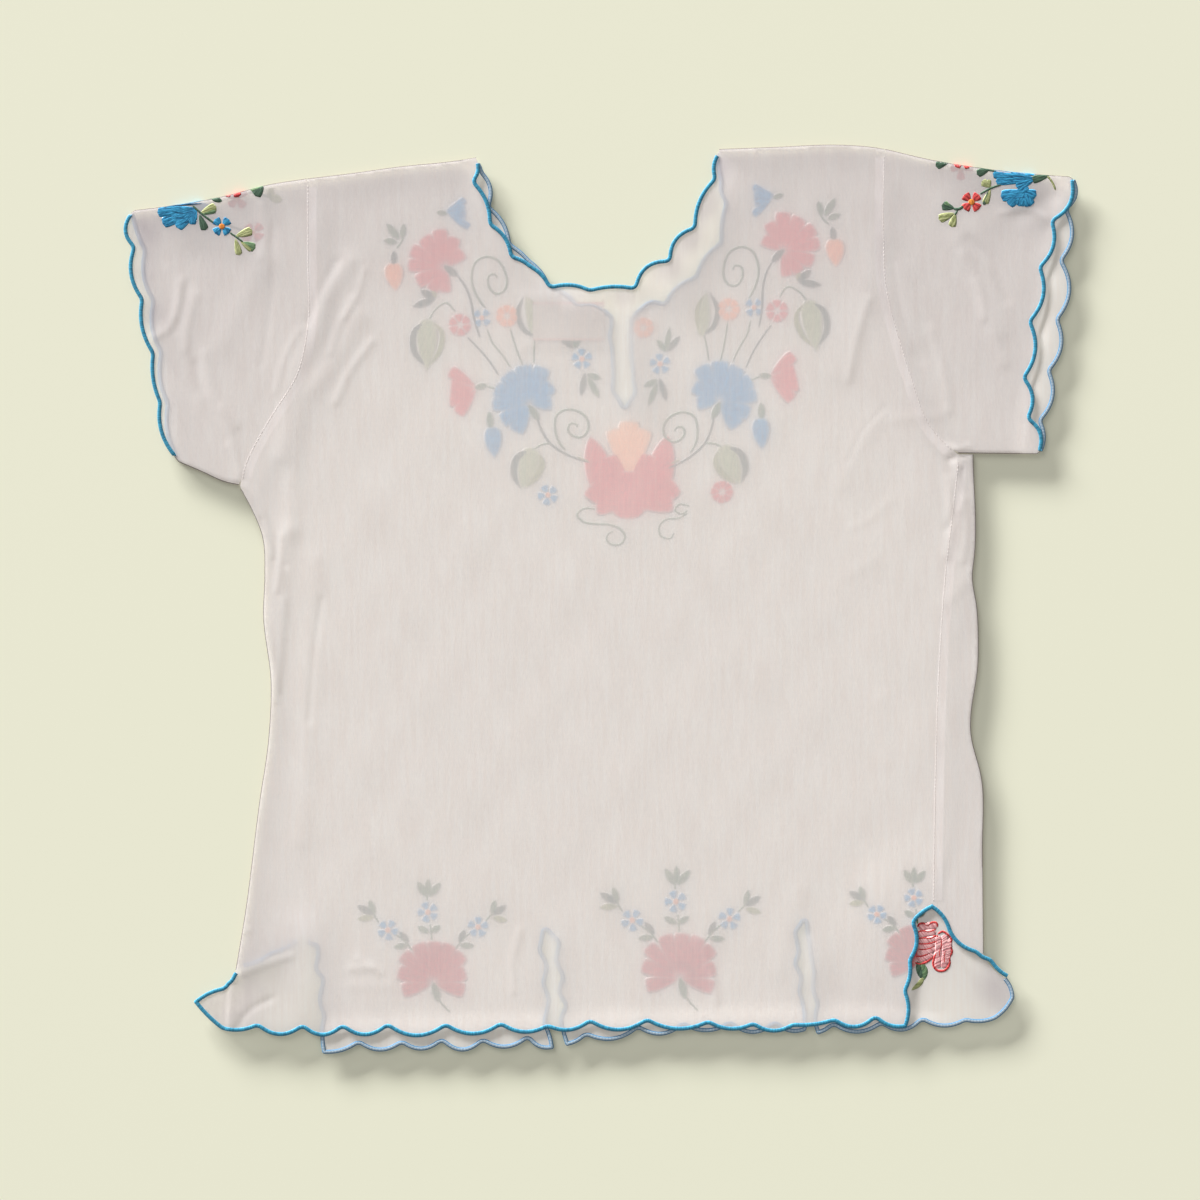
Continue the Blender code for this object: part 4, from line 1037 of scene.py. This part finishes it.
# Shapes: kind, thread, base x, base y, tip x, tip y, width, in photo pixels.
# Flowers: thread, centre thread, x, y, radius, petals, first angle, petal width.
# Blades and lines: thread, width, then points.
yokeSide = {
    "shapes": (
        ("heart", "paleGreen", 427, 318, 427, 373, 23),
        ("heart", "paleGreen", 533, 447, 521, 491, 23),
        ("heart", "paleGreen", 538, 339, 525, 292, 15),
        ("petal", "blue", 445, 212, 467, 210, 22),
        ("petal", "red", 474, 394, 449, 392, 32),
        ("petal", "blue", 447, 213, 466, 199, 9), ("petal", "blue", 447, 213, 467, 212, 9),
        ("petal", "blue", 447, 213, 470, 228, 9), ("leaf", "green", 448, 214, 436, 212, 7),
        ("petal", "red", 446, 267, 464, 251, 16), ("petal", "red", 446, 267, 455, 236, 16),
        ("petal", "red", 446, 267, 439, 228, 18), ("petal", "red", 446, 267, 423, 236, 18),
        ("petal", "red", 446, 267, 410, 249, 17), ("petal", "red", 446, 267, 407, 265, 16),
        ("petal", "red", 446, 267, 416, 283, 17), ("petal", "red", 446, 267, 431, 292, 15),
        ("petal", "red", 446, 267, 445, 294, 14), ("leaf", "darkGreen", 443, 265, 459, 277, 9),
        ("bud", "apricot", 393, 262, 396, 292, 21), ("leaf", "darkGreen", 394, 267, 394, 250, 8),
        ("leaf", "green", 402, 240, 404, 223, 8), ("leaf", "green", 400, 240, 386, 223, 9),
        ("leaf", "green", 398, 243, 383, 240, 8),
        ("leaf", "darkGreen", 436, 299, 412, 307, 9), ("leaf", "darkGreen", 436, 299, 420, 290, 9),
        ("leaf", "lightGreen", 436, 299, 432, 287, 6),
        ("petal", "red", 477, 388, 449, 370, 15), ("petal", "red", 477, 388, 452, 393, 17),
        ("petal", "red", 477, 388, 457, 415, 15), ("leaf", "green", 474, 388, 488, 385, 8),
        ("petal", "blue", 530, 404, 553, 402, 18), ("petal", "blue", 530, 404, 553, 384, 18),
        ("petal", "blue", 530, 404, 543, 366, 20), ("petal", "blue", 530, 404, 523, 364, 21),
        ("petal", "blue", 530, 404, 505, 373, 20), ("petal", "blue", 530, 404, 494, 388, 19),
        ("petal", "blue", 530, 404, 491, 404, 17), ("petal", "blue", 530, 404, 501, 422, 18),
        ("petal", "blue", 530, 404, 515, 433, 19), ("leaf", "green", 528, 404, 540, 422, 9),
        ("bud", "blue", 492, 426, 495, 459, 20), ("leaf", "green", 491, 430, 489, 411, 9),
        ("leaf", "darkGreen", 585, 372, 581, 397, 8), ("leaf", "green", 586, 374, 602, 379, 8),
        ("leaf", "green", 587, 376, 600, 399, 8),
        ("leaf", "darkGreen", 574, 349, 558, 334, 8), ("leaf", "green", 574, 349, 582, 334, 7),
        ("leaf", "green", 575, 349, 567, 324, 7),
    ),
    "flowers": (
        ("red", "", 460, 325, 12, 6, 0.4, 11), ("blue", "apricot", 482, 318, 10, 4, 0.7, 9),
        ("apricot", "", 507, 316, 12, 7, 0.2, 10), ("blue", "apricot", 582, 359, 11, 5, 0.9, 9),
        ("apricot", "", 593, 321, 11, 7, 0.1, 9),
    ),
    "blades": (
        ("darkGreen", 8, (428, 320), (415, 331), (414, 350), (427, 368)),
        ("lightGreen", 7, (431, 320), (442, 333), (440, 350), (428, 368)),
        ("darkGreen", 9, (533, 449), (517, 458), (514, 474), (521, 489)),
        ("lightGreen", 9, (537, 451), (542, 463), (536, 477), (523, 489)),
        ("darkGreen", 7, (524, 295), (518, 314), (524, 330), (540, 338)),
        ("lightGreen", 6, (527, 296), (537, 310), (540, 337)),
    ),
    "lines": (
        ("green", 2.6, (396, 249), (402, 241), (404, 236)),
        ("darkGreen", 3.0, (458, 276), (466, 288), (471, 302), (474, 318), (480, 338)),
        ("green", 3.2, (486, 309), (478, 298), (473, 287), (472, 273), (476, 262), (485, 257),
         (497, 260), (505, 272), (507, 284), (503, 292), (497, 294), (491, 290), (488, 283),
         (489, 276), (494, 274), (498, 279)),
        ("green", 2.4, (429, 320), (436, 309), (446, 303), (456, 312)),
        ("darkGreen", 2.4, (467, 337), (479, 349), (490, 362), (499, 376)),
        ("green", 2.2, (487, 329), (492, 342), (503, 356), (511, 368)),
        ("green", 2.2, (510, 328), (514, 342), (519, 356), (523, 366)),
        ("green", 2.2, (535, 336), (534, 350), (534, 364)),
        ("green", 2.4, (486, 386), (496, 389)),
        ("darkGreen", 3.0, (536, 414), (541, 429), (549, 442), (562, 452), (578, 459), (592, 463)),
        ("green", 2.6, (533, 450), (541, 445), (551, 443)),
        ("green", 3.2, (566, 451), (559, 442), (555, 428), (557, 415), (565, 410), (577, 411),
         (587, 419), (588, 430), (582, 437), (573, 436), (568, 430), (570, 424), (576, 424),
         (578, 428)),
    ),
}
yokeCentre = {
    "shapes": (
        ("petal", "peach", 629, 478, 613, 428, 20), ("petal", "peach", 629, 478, 645, 428, 20),
        ("petal", "peach", 629, 482, 629, 420, 24),
        ("petal", "red", 629, 517, 629, 470, 36),
        ("petal", "red", 626, 516, 608, 455, 30), ("petal", "red", 632, 516, 651, 454, 30),
        ("leaf", "red", 610, 512, 590, 436, 30), ("leaf", "red", 652, 512, 668, 435, 30),
        ("petal", "red", 622, 512, 590, 484, 28), ("petal", "red", 636, 512, 676, 482, 28),
        ("petal", "red", 624, 506, 595, 506, 20), ("petal", "red", 636, 506, 674, 502, 22),
        ("dot", "red", 628, 494, 629, 520, 36),
    ),
    "flowers": (
        ("blue", "apricot", 548, 495, 11, 5, 0.5, 9), ("red", "", 722, 492, 12, 8, 0.1, 9),
    ),
    "lines": (
        ("green", 2.8, (596, 509), (583, 509), (577, 515), (582, 521), (596, 524), (610, 525),
         (620, 529), (625, 536), (622, 543), (614, 545), (607, 541), (608, 534), (614, 531)),
        ("green", 2.6, (690, 506), (678, 505), (675, 510), (682, 514), (688, 510)),
        ("green", 2.4, (688, 513), (679, 518), (665, 520), (659, 527), (661, 536), (671, 538),
         (674, 532)),
        ("lightGreen", 2.4, (577, 457), (590, 462)), ("lightGreen", 2.4, (680, 460), (670, 464)),
    ),
}
hemLeft = {   # about the flower's own middle
    "shapes": (
        ("petal", "hemRed", 0, 16, -32, 24, 17), ("petal", "hemRed", 0, 16, -36, 4, 18),
        ("petal", "hemRed", 0, 16, -31, -14, 18), ("petal", "hemRed", 0, 16, -15, -25, 19),
        ("leaf", "green", -6, -70, -16, -86, 9), ("leaf", "green", -5, -70, -5, -89, 8),
        ("leaf", "green", -4, -70, 8, -85, 9),
        ("leaf", "green", -3, -34, -16, -41, 8), ("leaf", "green", -3, -34, 8, -42, 8),
        ("leaf", "darkGreen", -58, -52, -76, -62, 9), ("leaf", "green", -58, -52, -64, -68, 8),
        ("leaf", "lightGreen", -58, -50, -76, -48, 8),
        ("leaf", "darkGreen", -24, -24, -34, -36, 8), ("leaf", "green", -24, -22, -40, -20, 8),
    ),
    "flowers": (
        ("blue", "apricot", -5, -55, 11, 5, 0.6, 9), ("blue", "apricot", -45, -37, 11, 5, 0.2, 9),
    ),
    "lines": (
        ("green", 2.2, (-1, -26), (-3, -44)), ("green", 2.2, (-6, -66), (-6, -72)),
        ("green", 2.2, (-20, -16), (-28, -26), (-38, -33)), ("green", 2.2, (-54, -44), (-60, -54)),
    ),
}
hemRight = {
    "shapes": (
        ("petal", "hemRed", 0, 16, 2, -27, 19), ("petal", "hemRed", 0, 16, 18, -24, 19),
        ("petal", "hemRed", 0, 16, 31, -14, 18), ("petal", "hemRed", 0, 16, 34, 5, 18),
        ("petal", "hemRed", 0, 16, 33, 24, 17), ("leaf", "green", 0, 14, 6, 36, 10),
        ("leaf", "darkGreen", 59, -52, 74, -62, 9), ("leaf", "green", 59, -52, 62, -68, 8),
        ("leaf", "lightGreen", 59, -50, 75, -46, 8),
        ("leaf", "darkGreen", 26, -24, 32, -38, 8), ("leaf", "green", 26, -22, 42, -21, 8),
    ),
    "flowers": (("blue", "apricot", 45, -40, 11, 5, 1.0, 9),),
    "lines": (
        ("green", 2.4, (4, 30), (10, 38), (18, 46)),
        ("green", 2.2, (22, -18), (30, -28), (38, -35)), ("green", 2.2, (52, -46), (60, -54)),
    ),
}
ventFlower = {   # its wrong side shows at the vent: pale rows between red ones
    "lines": (
        ("pale", 8.5, (918, 928), (926, 926), (937, 926)),
        ("pale", 8.5, (917, 935), (926, 933), (936, 931)),
        ("pale", 8.0, (917, 941), (926, 940), (936, 938)),
        ("pale", 8.0, (917, 947), (926, 946), (935, 943)),
        ("pale", 8.0, (916, 953), (925, 952), (935, 948)),
        ("pale", 7.0, (916, 960), (924, 958), (933, 954)),
        ("pale", 9.0, (938, 935), (938, 951), (937, 968)),
        ("pale", 9.0, (944, 934), (945, 950), (943, 968)),
        ("pale", 7.0, (949, 938), (948, 952), (947, 964)),
        ("red", 2.6, (917, 927), (919, 923.5), (923, 923), (927, 925.5), (931, 922.5),
         (936, 922.5), (937, 927)),
        ("red", 2.4, (917, 932), (922, 930.5), (928, 931.5), (936, 928.5)),
        ("red", 2.4, (917, 938.5), (924, 937.5), (930, 938), (936, 934.5)),
        ("red", 2.6, (917, 943), (924, 943.5), (930, 943), (936, 940)),
        ("red", 2.2, (917, 948.5), (924, 949), (930, 947.5), (935, 944.5)),
        ("red", 2.6, (915, 956), (922, 955.5), (928, 953), (935, 949)),
        ("red", 2.6, (914, 962), (920, 963.5), (927, 961), (933, 956)),
        ("red", 2.6, (937, 934), (942, 931), (947, 934), (951, 939), (949, 944), (951.5, 951),
         (949, 957), (949, 964), (944, 970), (937, 970), (933, 965), (934, 957), (937, 950),
         (936, 942), (937, 934)),
        ("red", 2.0, (940, 936), (941, 944), (939, 952), (940, 962)),
        ("red", 2.0, (945, 937), (946, 946), (944, 955), (944, 965)),
    ),
    "blades": (
        ("darkGreen", 7, (917, 960), (919, 969), (923, 980)),
        ("green", 7, (919, 961), (924, 970), (922, 981)),
        ("lightGreen", 5, (924, 974), (920, 982), (911, 990)),
    ),
}
hemPlaces = (   # middle x, y, size and turn of each motif, and its halves
    (433, 967, 1.0, 0.0, (hemLeft, hemRight)), (680, 961, 1.08, 0.02, (hemLeft, hemRight)),
    (918, 948, 0.92, 0.0, (hemLeft,)),
)
leftSleeveMotif = {
    "shapes": (
        ("petal", "blue", 197, 209, 158, 213, 11), ("petal", "blue", 197, 210, 163, 224, 12),
        ("petal", "blue", 197, 210, 177, 228, 12), ("petal", "blue", 197, 210, 191, 225, 10),
        ("petal", "blue", 204, 200, 168, 201, 9), ("petal", "blue", 202, 196, 170, 190, 13),
        ("petal", "blue", 202, 196, 185, 181, 13), ("petal", "blue", 202, 196, 204, 182, 12),
        ("petal", "lightGreen", 201, 214, 217, 207, 9), ("petal", "green", 202, 215, 217, 211, 5),
        ("petal", "darkGreen", 200, 215, 206, 231, 8),
        ("petal", "lightGreen", 236, 237, 253, 231, 9), ("petal", "lightGreen", 236, 239, 240, 256, 7),
        ("petal", "green", 242, 243, 256, 249, 9), ("petal", "lightGreen", 241, 242, 253, 251, 6),
        ("leaf", "darkGreen", 211, 198, 223, 202, 6), ("petal", "darkGreen", 264, 184, 256, 197, 10),
        ("petal", "green", 264, 186, 250, 190, 6),
        ("petal", "red", 234, 186, 226, 197, 8), ("petal", "red", 234, 186, 239, 198, 8),
        ("petal", "red", 234, 186, 246, 188, 8), ("petal", "red", 234, 186, 224, 182, 8),
        ("petal", "red", 234, 186, 236, 174, 8), ("dot", "orange", 231, 186, 237, 186, 6),
        ("leaf", "lightGreen", 262, 170, 276, 163, 9), ("leaf", "lightGreen", 262, 170, 271, 178, 8),
    ),
    "flowers": (
        ("blue", "orange", 222.5, 227, 10, 4, 0.785, 9.5), ("red", "orange", 232, 148, 10, 4, 0.3, 9),
    ),
    "blades": (
        ("darkBlue", 1.6, (196, 211), (182, 214), (170, 211), (159, 214)),
        ("darkBlue", 1.6, (196, 213), (184, 219), (172, 217), (161, 221)),
        ("darkBlue", 1.4, (194, 217), (186, 223), (178, 222)),
        ("darkBlue", 2.2, (203, 204), (188, 205), (172, 206), (160, 210)),
    ),
    "lines": (
        ("darkGreen", 2.4, (193, 206), (203, 215), (215, 224)),
        ("darkGreen", 2.0, (230, 233), (236, 237), (244, 243)),
        ("darkGreen", 2.0, (206, 196), (213, 199)), ("green", 2.0, (246, 186), (256, 178), (263, 170)),
        ("darkGreen", 2.0, (204, 180), (216, 166), (228, 152)),
    ),
}
rightSleeveMotif = {
    "shapes": (
        ("petal", "blue", 1034, 179, 992, 174, 11), ("petal", "blue", 1034, 180, 995, 182, 9),
        ("petal", "blue", 1034, 180, 1015, 187, 11), ("petal", "blue", 1034, 176, 1004, 165, 12),
        ("petal", "blue", 1034, 176, 1017, 160, 12), ("petal", "blue", 1034, 176, 1030, 162, 12),
        ("petal", "blue", 1030, 193, 1000, 197, 12), ("petal", "blue", 1026, 190, 1007, 205, 12),
        ("petal", "blue", 1024, 190, 1018, 207, 11), ("petal", "blue", 1022, 190, 1030, 207, 11),
        ("petal", "blue", 1020, 192, 1036, 196, 10), ("petal", "blue", 1012, 196, 1028, 188, 10),
        ("petal", "darkGreen", 1049, 176, 1031, 181, 8),
        ("petal", "lightGreen", 991, 188, 981, 182, 8), ("petal", "lightGreen", 990, 190, 984, 205, 7),
        ("petal", "darkGreen", 988, 191, 983, 206, 4), ("petal", "lightGreen", 989, 189, 988, 180, 5),
        ("petal", "darkGreen", 954, 209, 941, 206, 9), ("petal", "green", 952, 210, 943, 203, 6),
        ("petal", "lightGreen", 954, 214, 938, 220, 9), ("petal", "lightGreen", 955, 214, 951, 228, 8),
        ("petal", "darkGreen", 950, 161, 935, 167, 8), ("petal", "darkGreen", 991, 168, 976, 175, 8),
        ("petal", "red", 962, 159, 955, 168, 8), ("petal", "red", 962, 159, 969, 169, 8),
        ("petal", "red", 962, 159, 952, 157, 8), ("petal", "red", 962, 159, 974, 165, 8),
        ("petal", "red", 962, 159, 966, 148, 8), ("dot", "orange", 959, 159, 965, 159, 6),
    ),
    "flowers": (("red", "orange", 971, 202.7, 10.5, 4, 0.785, 10),),
    "blades": (
        ("darkBlue", 1.4, (1034, 178), (1020, 177), (1004, 178), (994, 178)),
        ("darkBlue", 1.4, (1002, 196), (1012, 199), (1022, 198), (1034, 197)),
    ),
    "lines": (
        ("lightGreen", 2.2, (1046, 176), (1051, 182), (1055, 191)),
        ("darkGreen", 2.2, (1001, 185), (990, 189), (979, 195)),
        ("darkGreen", 3.0, (964, 206), (957, 210), (952, 209)),
        ("darkGreen", 2.0, (957, 211), (954, 216)),
        ("darkGreen", 2.0, (975, 165), (985, 170), (996, 172)),
    ),
}


def onFront(points):
    # On the under layer's cloth, with both faces worked.
    normals = np.tile((0.0, 0.0, 1.0), (len(points), 1))
    return np.column_stack((points, lowerHeight(points))), normals


def onReverse(points):
    # The same for stitches pressed flat between the layers.
    places, normals = onFront(points)
    return places, normals * satin["pressed"]


def onSleeve(side):
    # Over the sleeve's top fold: past the turning line a point goes round it and under.
    outward = sleeves[side]["outward"]
    edge, normal = foldEdge(folds[side + "SleeveTop"], outward)
    order = np.argsort(edge[:, 0])
    edge, normal = edge[order], normal[order]

    def place(points):
        level = np.interp(points[:, 0], edge[:, 0], edge[:, 1])
        out = np.column_stack([np.interp(points[:, 0], edge[:, 0], normal[:, k]) for k in (0, 1)])
        out /= np.hypot(*out.T)[:, None]
        past = (points[:, 1] - level) * out[:, 1]
        foot = points - out * np.maximum(past, 0.0)[:, None]
        high = upperHeight(foot)
        low = lowerHeight(foot)
        radius, middle = (high - low) / 2, (high + low) / 2
        wide = cloth["foldOut"]
        length = math.pi * np.sqrt((radius**2 + wide**2) / 2)   # nearly, of half the oval
        angle = np.clip(past / length, 0.0, 1.0) * math.pi
        under = np.maximum(past - length, 0.0)
        flat = foot + out * (wide * np.sin(angle) - under)[:, None]
        normals = np.column_stack((out * (radius * np.sin(angle))[:, None], wide * np.cos(angle)))
        normals /= np.linalg.norm(normals, axis=1)[:, None]
        return np.column_stack((flat, middle + radius * np.cos(angle))), normals

    return place


def mirrored(points):
    # The right half of the yoke: the left one mirrored and turned a little.
    x, y = points[:, 0], points[:, 1]
    return np.column_stack((1219 + 0.15 * (y - 205) - x, y - 4 - 0.155 * (524 - x)))


def placedAt(x, y, size, turn):
    cosine, sine = math.cos(turn) * size, math.sin(turn) * size
    return lambda points: points @ np.array(((cosine, sine), (-sine, cosine))) + (x, y)


def asDrawn(points):
    return points


def onBack(points):
    normals = np.tile((0.0, 0.0, 1.0), (len(points), 1))
    return np.column_stack((points, upperHeight(points))), normals


def stitchedObject(surface, name, look=None):
    look = look or floss
    return objectFrom(surface, name, [look[thread] for thread in surface["threads"]], False)


def makeEmbroidery():
    yoke = newSurface()
    stitchMotif(yoke, yokeSide, asDrawn, onReverse)
    stitchMotif(yoke, yokeSide, mirrored, onReverse)
    stitchMotif(yoke, yokeCentre, asDrawn, onReverse)
    hem = newSurface()
    for *row, halves in hemPlaces:
        for motif in halves:
            stitchMotif(hem, motif, placedAt(*row), onReverse)
    vent = newSurface()
    stitchMotif(vent, ventFlower, asDrawn, onFront)
    pieces = [stitchedObject(yoke, "yoke_embroidery", reverseFloss),
              stitchedObject(hem, "hem_embroidery", reverseFloss),
              stitchedObject(vent, "vent_embroidery")]
    for side, motif in (("left", leftSleeveMotif), ("right", rightSleeveMotif)):
        surface = newSurface()
        stitchMotif(surface, motif, asDrawn, onSleeve(side))
        pieces.append(stitchedObject(surface, "sleeve_embroidery_" + side))
    return pieces


# Seams.
seamLook = {
    "allowance": 7.0,
    "strips": 3,        # rows of points across an allowance
    "drop": 0.35,       # below the top layer
    "pitch": 2.6,
    "stitch": 1.8,
    "width": 0.35,
    "beside": 0.9,      # from the seam line to the stitches
}


def makeSeams():
    # Allowances pressed to one side under the top layer, and the stitches that show on it.
    strips, stitches = newSurface(), newSurface()
    for name, side in (("leftArmhole", -1.0), ("rightArmhole", 1.0), ("rightSide", -1.0)):
        line = smoothLine(seams[name], cloth["armholeStep"])[2:-2]
        across = rightNormals(line) * side
        share = np.linspace(0.0, 1.0, seamLook["strips"])[None, :, None]
        flat = line[:, None] + across[:, None] * share * seamLook["allowance"]
        height = upperHeight(flat.reshape(-1, 2)).reshape(flat.shape[:2]) - seamLook["drop"]
        addGrid(strips, np.dstack((flat, height)))
        row = line + across * seamLook["beside"]
        length = np.hypot(*np.diff(row, axis=0).T).sum()
        row = resampled(row, round(length / seamLook["pitch"]))
        along = np.gradient(row, axis=0)
        along *= seamLook["stitch"] / 2 / np.hypot(*along.T)[:, None]
        for middle, half in zip(row, along):
            satinShape(stitches, "line", "white", (middle - half, middle + half),
                       seamLook["width"], onBack)
    return (objectFrom(strips, "seam_allowances", [cottonLawn, foldShadeLawn]),
            stitchedObject(stitches, "seam_stitches"))


# Neck label.
label = {
    "size": (50.0, 27.0), "height": 0.8, "step": 1.0,
    "colour": "#d2c9c0", "border": "#d8b6ac", "borderWidth": 1.6,
}


def wovenTape(name, look):
    # Dense plain-woven polyester tape with a pinkish selvedge, left without text.
    material, tree = newMaterial(name)
    place = addNode(tree, "ShaderNodeUVMap", {"uv_map": "along"}, {}).outputs[0]
    parts = addNode(tree, "ShaderNodeSeparateXYZ", {}, {0: place})
    away = addNode(tree, "ShaderNodeMath", {"operation": "ABSOLUTE"}, {
        0: parts.outputs["Y"]}).outputs[0]
    edge = look["size"][1] / 2 - look["borderWidth"]
    share = addNode(tree, "ShaderNodeMapRange", {}, {
        "Value": away, "From Min": edge - 0.4, "From Max": edge + 0.4}).outputs[0]
    colour = addNode(tree, "ShaderNodeMix", {"data_type": "RGBA"}, {
        0: share, 6: linear(look["colour"]), 7: linear(look["border"])}).outputs[2]
    weave = addNode(tree, "ShaderNodeTexNoise", {"noise_dimensions": "2D"}, {
        "Vector": place, "Scale": 2.5, "Detail": 1.0}).outputs["Fac"]
    bump = addNode(tree, "ShaderNodeBump", {}, {
        "Height": weave, "Strength": 0.3, "Distance": 0.0001}).outputs[0]
    surface = addNode(tree, "ShaderNodeBsdfPrincipled", {}, {
        "Base Color": colour, "Roughness": 0.6, "Specular IOR Level": 0.3,
        "Sheen Weight": 0.1, "Normal": bump}).outputs[0]
    addNode(tree, "ShaderNodeOutputMaterial", {}, {"Surface": surface})
    return material


def makeLabel():
    # A plain woven patch: a grid that lies close over the under layer.
    wide, long = label["size"]
    x = np.linspace(-wide / 2, wide / 2, round(wide / label["step"]))
    y = np.linspace(-long / 2, long / 2, round(long / label["step"]))
    gridX, gridY = np.meshgrid(x, y)
    grid = np.dstack((gridX + layout["labelCentre"][0], gridY + layout["labelCentre"][1],
                      np.full(gridX.shape, label["height"])))
    surface = newSurface()
    addGrid(surface, grid, uv=np.dstack((gridX, gridY)))
    return objectFrom(surface, "neck_label_tape", [wovenTape("woven_label_tape", label)])


backPanel, frontPanel = makeBody()
sleeveCloths = {side: makeSleeve(side) for side in sleeves}
print("cloth made")

edgings = {
    name: makeEdging(name, *row)
    for name, row in {
        "neck_edging_back": (backNeck, upperHeight, 1.0),
        "neck_edging_front": (frontNeck, lowerHeight, -1.0),
        "hem_edging_back": (backHem, upperHeight, 1.0),
        "hem_edging_front": (frontHem, lowerHeight, -1.0),
        "vent_edging_left": (leftUnderVent, lowerHeight, -1.0),
        "vent_edging_right": (rightOverVent, ventHeight, 1.0),
    }.items()
}
for side in sleeves:
    edgings["cuff_edging_" + side] = makeCuffEdging(side)
print("worked edges made")

embroidery = makeEmbroidery()
seamPieces = makeSeams()
neckLabel = makeLabel()
print("embroidery, seams and label made")

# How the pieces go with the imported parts.
replaced = {"back": backPanel, "front": frontPanel, "neck_label": neckLabel, **edgings}
for side in sleeves:
    replaced["sleeve_" + side] = sleeveCloths[side]
for node, piece in replaced.items():
    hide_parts(node)
for piece in (*replaced.values(), *embroidery, *seamPieces):
    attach(piece, "root")

# Table, light and camera.
stage = {
    "board": "#e8e7d1",
    "boardSize": 6.0,
    # shares of the light that reaches the board: sky, a high soft key and a low wide lamp
    "skyShare": 0.395, "keyShare": 0.11, "lampShare": 0.525,
    "keyAngle": 30.0, "keyElevation": 35.0, "keyAzimuth": 125.0,
    "lampDistance": 48.0, "lampElevation": 6.2, "lampAzimuth": 123.0,
    "lampSize": (30.0, 3.7),
    "lens": 85.0, "sensor": 36.0,
}


def towards(azimuth, elevation):
    turn, up = math.radians(azimuth), math.radians(elevation)
    return Vector((math.cos(turn) * math.cos(up), math.sin(turn) * math.cos(up), math.sin(up)))


def addLight(light, direction, distance):
    piece = bpy.data.objects.new(light.name, light)
    bpy.context.scene.collection.objects.link(piece)
    piece.location = direction * distance
    piece.rotation_euler = direction.to_track_quat("Z", "Y").to_euler()


def makeStage():
    mesh = bpy.data.meshes.new("board")
    half = stage["boardSize"] / 2
    mesh.from_pydata([(-half, -half, 0), (half, -half, 0), (half, half, 0), (-half, half, 0)],
                     [], [(0, 1, 2, 3)])
    board = bpy.data.objects.new("board", mesh)
    bpy.context.scene.collection.objects.link(board)
    material, tree = newMaterial("painted_board")  # smooth matt paint
    surface = addNode(tree, "ShaderNodeBsdfPrincipled", {}, {
        "Base Color": linear(stage["board"]), "Roughness": 0.95,
        "Specular IOR Level": 0.0}).outputs[0]
    addNode(tree, "ShaderNodeOutputMaterial", {}, {"Surface": surface})
    mesh.materials.append(material)

    sun = bpy.data.lights.new("key", "SUN")
    sun.angle = math.radians(stage["keyAngle"])
    toKey = towards(stage["keyAzimuth"], stage["keyElevation"])
    sun.energy = stage["keyShare"] * math.pi / toKey.z
    addLight(sun, toKey, 2.0)
    lamp = bpy.data.lights.new("lamp", "AREA")
    lamp.shape = "RECTANGLE"
    lamp.size, lamp.size_y = stage["lampSize"]
    toLamp = towards(stage["lampAzimuth"], stage["lampElevation"])
    # on its axis a lamp of power P gives P / (pi r^2) square on
    lamp.energy = stage["lampShare"] * math.pi / toLamp.z * math.pi * stage["lampDistance"]**2
    addLight(lamp, toLamp, stage["lampDistance"])

    world = bpy.data.worlds.new("soft_sky")
    world.use_nodes = True
    world.node_tree.nodes["Background"].inputs["Color"].default_value = (1.0, 1.0, 1.0, 1.0)
    world.node_tree.nodes["Background"].inputs["Strength"].default_value = stage["skyShare"]
    bpy.context.scene.world = world

    lens = bpy.data.cameras.new("camera")
    lens.lens, lens.sensor_width = stage["lens"], stage["sensor"]
    camera = bpy.data.objects.new("camera", lens)
    bpy.context.scene.collection.objects.link(camera)
    centre = (fromPhoto(layout["photoCentre"])[0] + tableShift[:2]) * mm
    frameWidth = 1200 * layout["photoScale"] * mm
    camera.location = (*centre, frameWidth * stage["lens"] / stage["sensor"])
    bpy.context.scene.camera = camera


makeStage()
bpy.context.scene.view_settings.view_transform = "Standard"
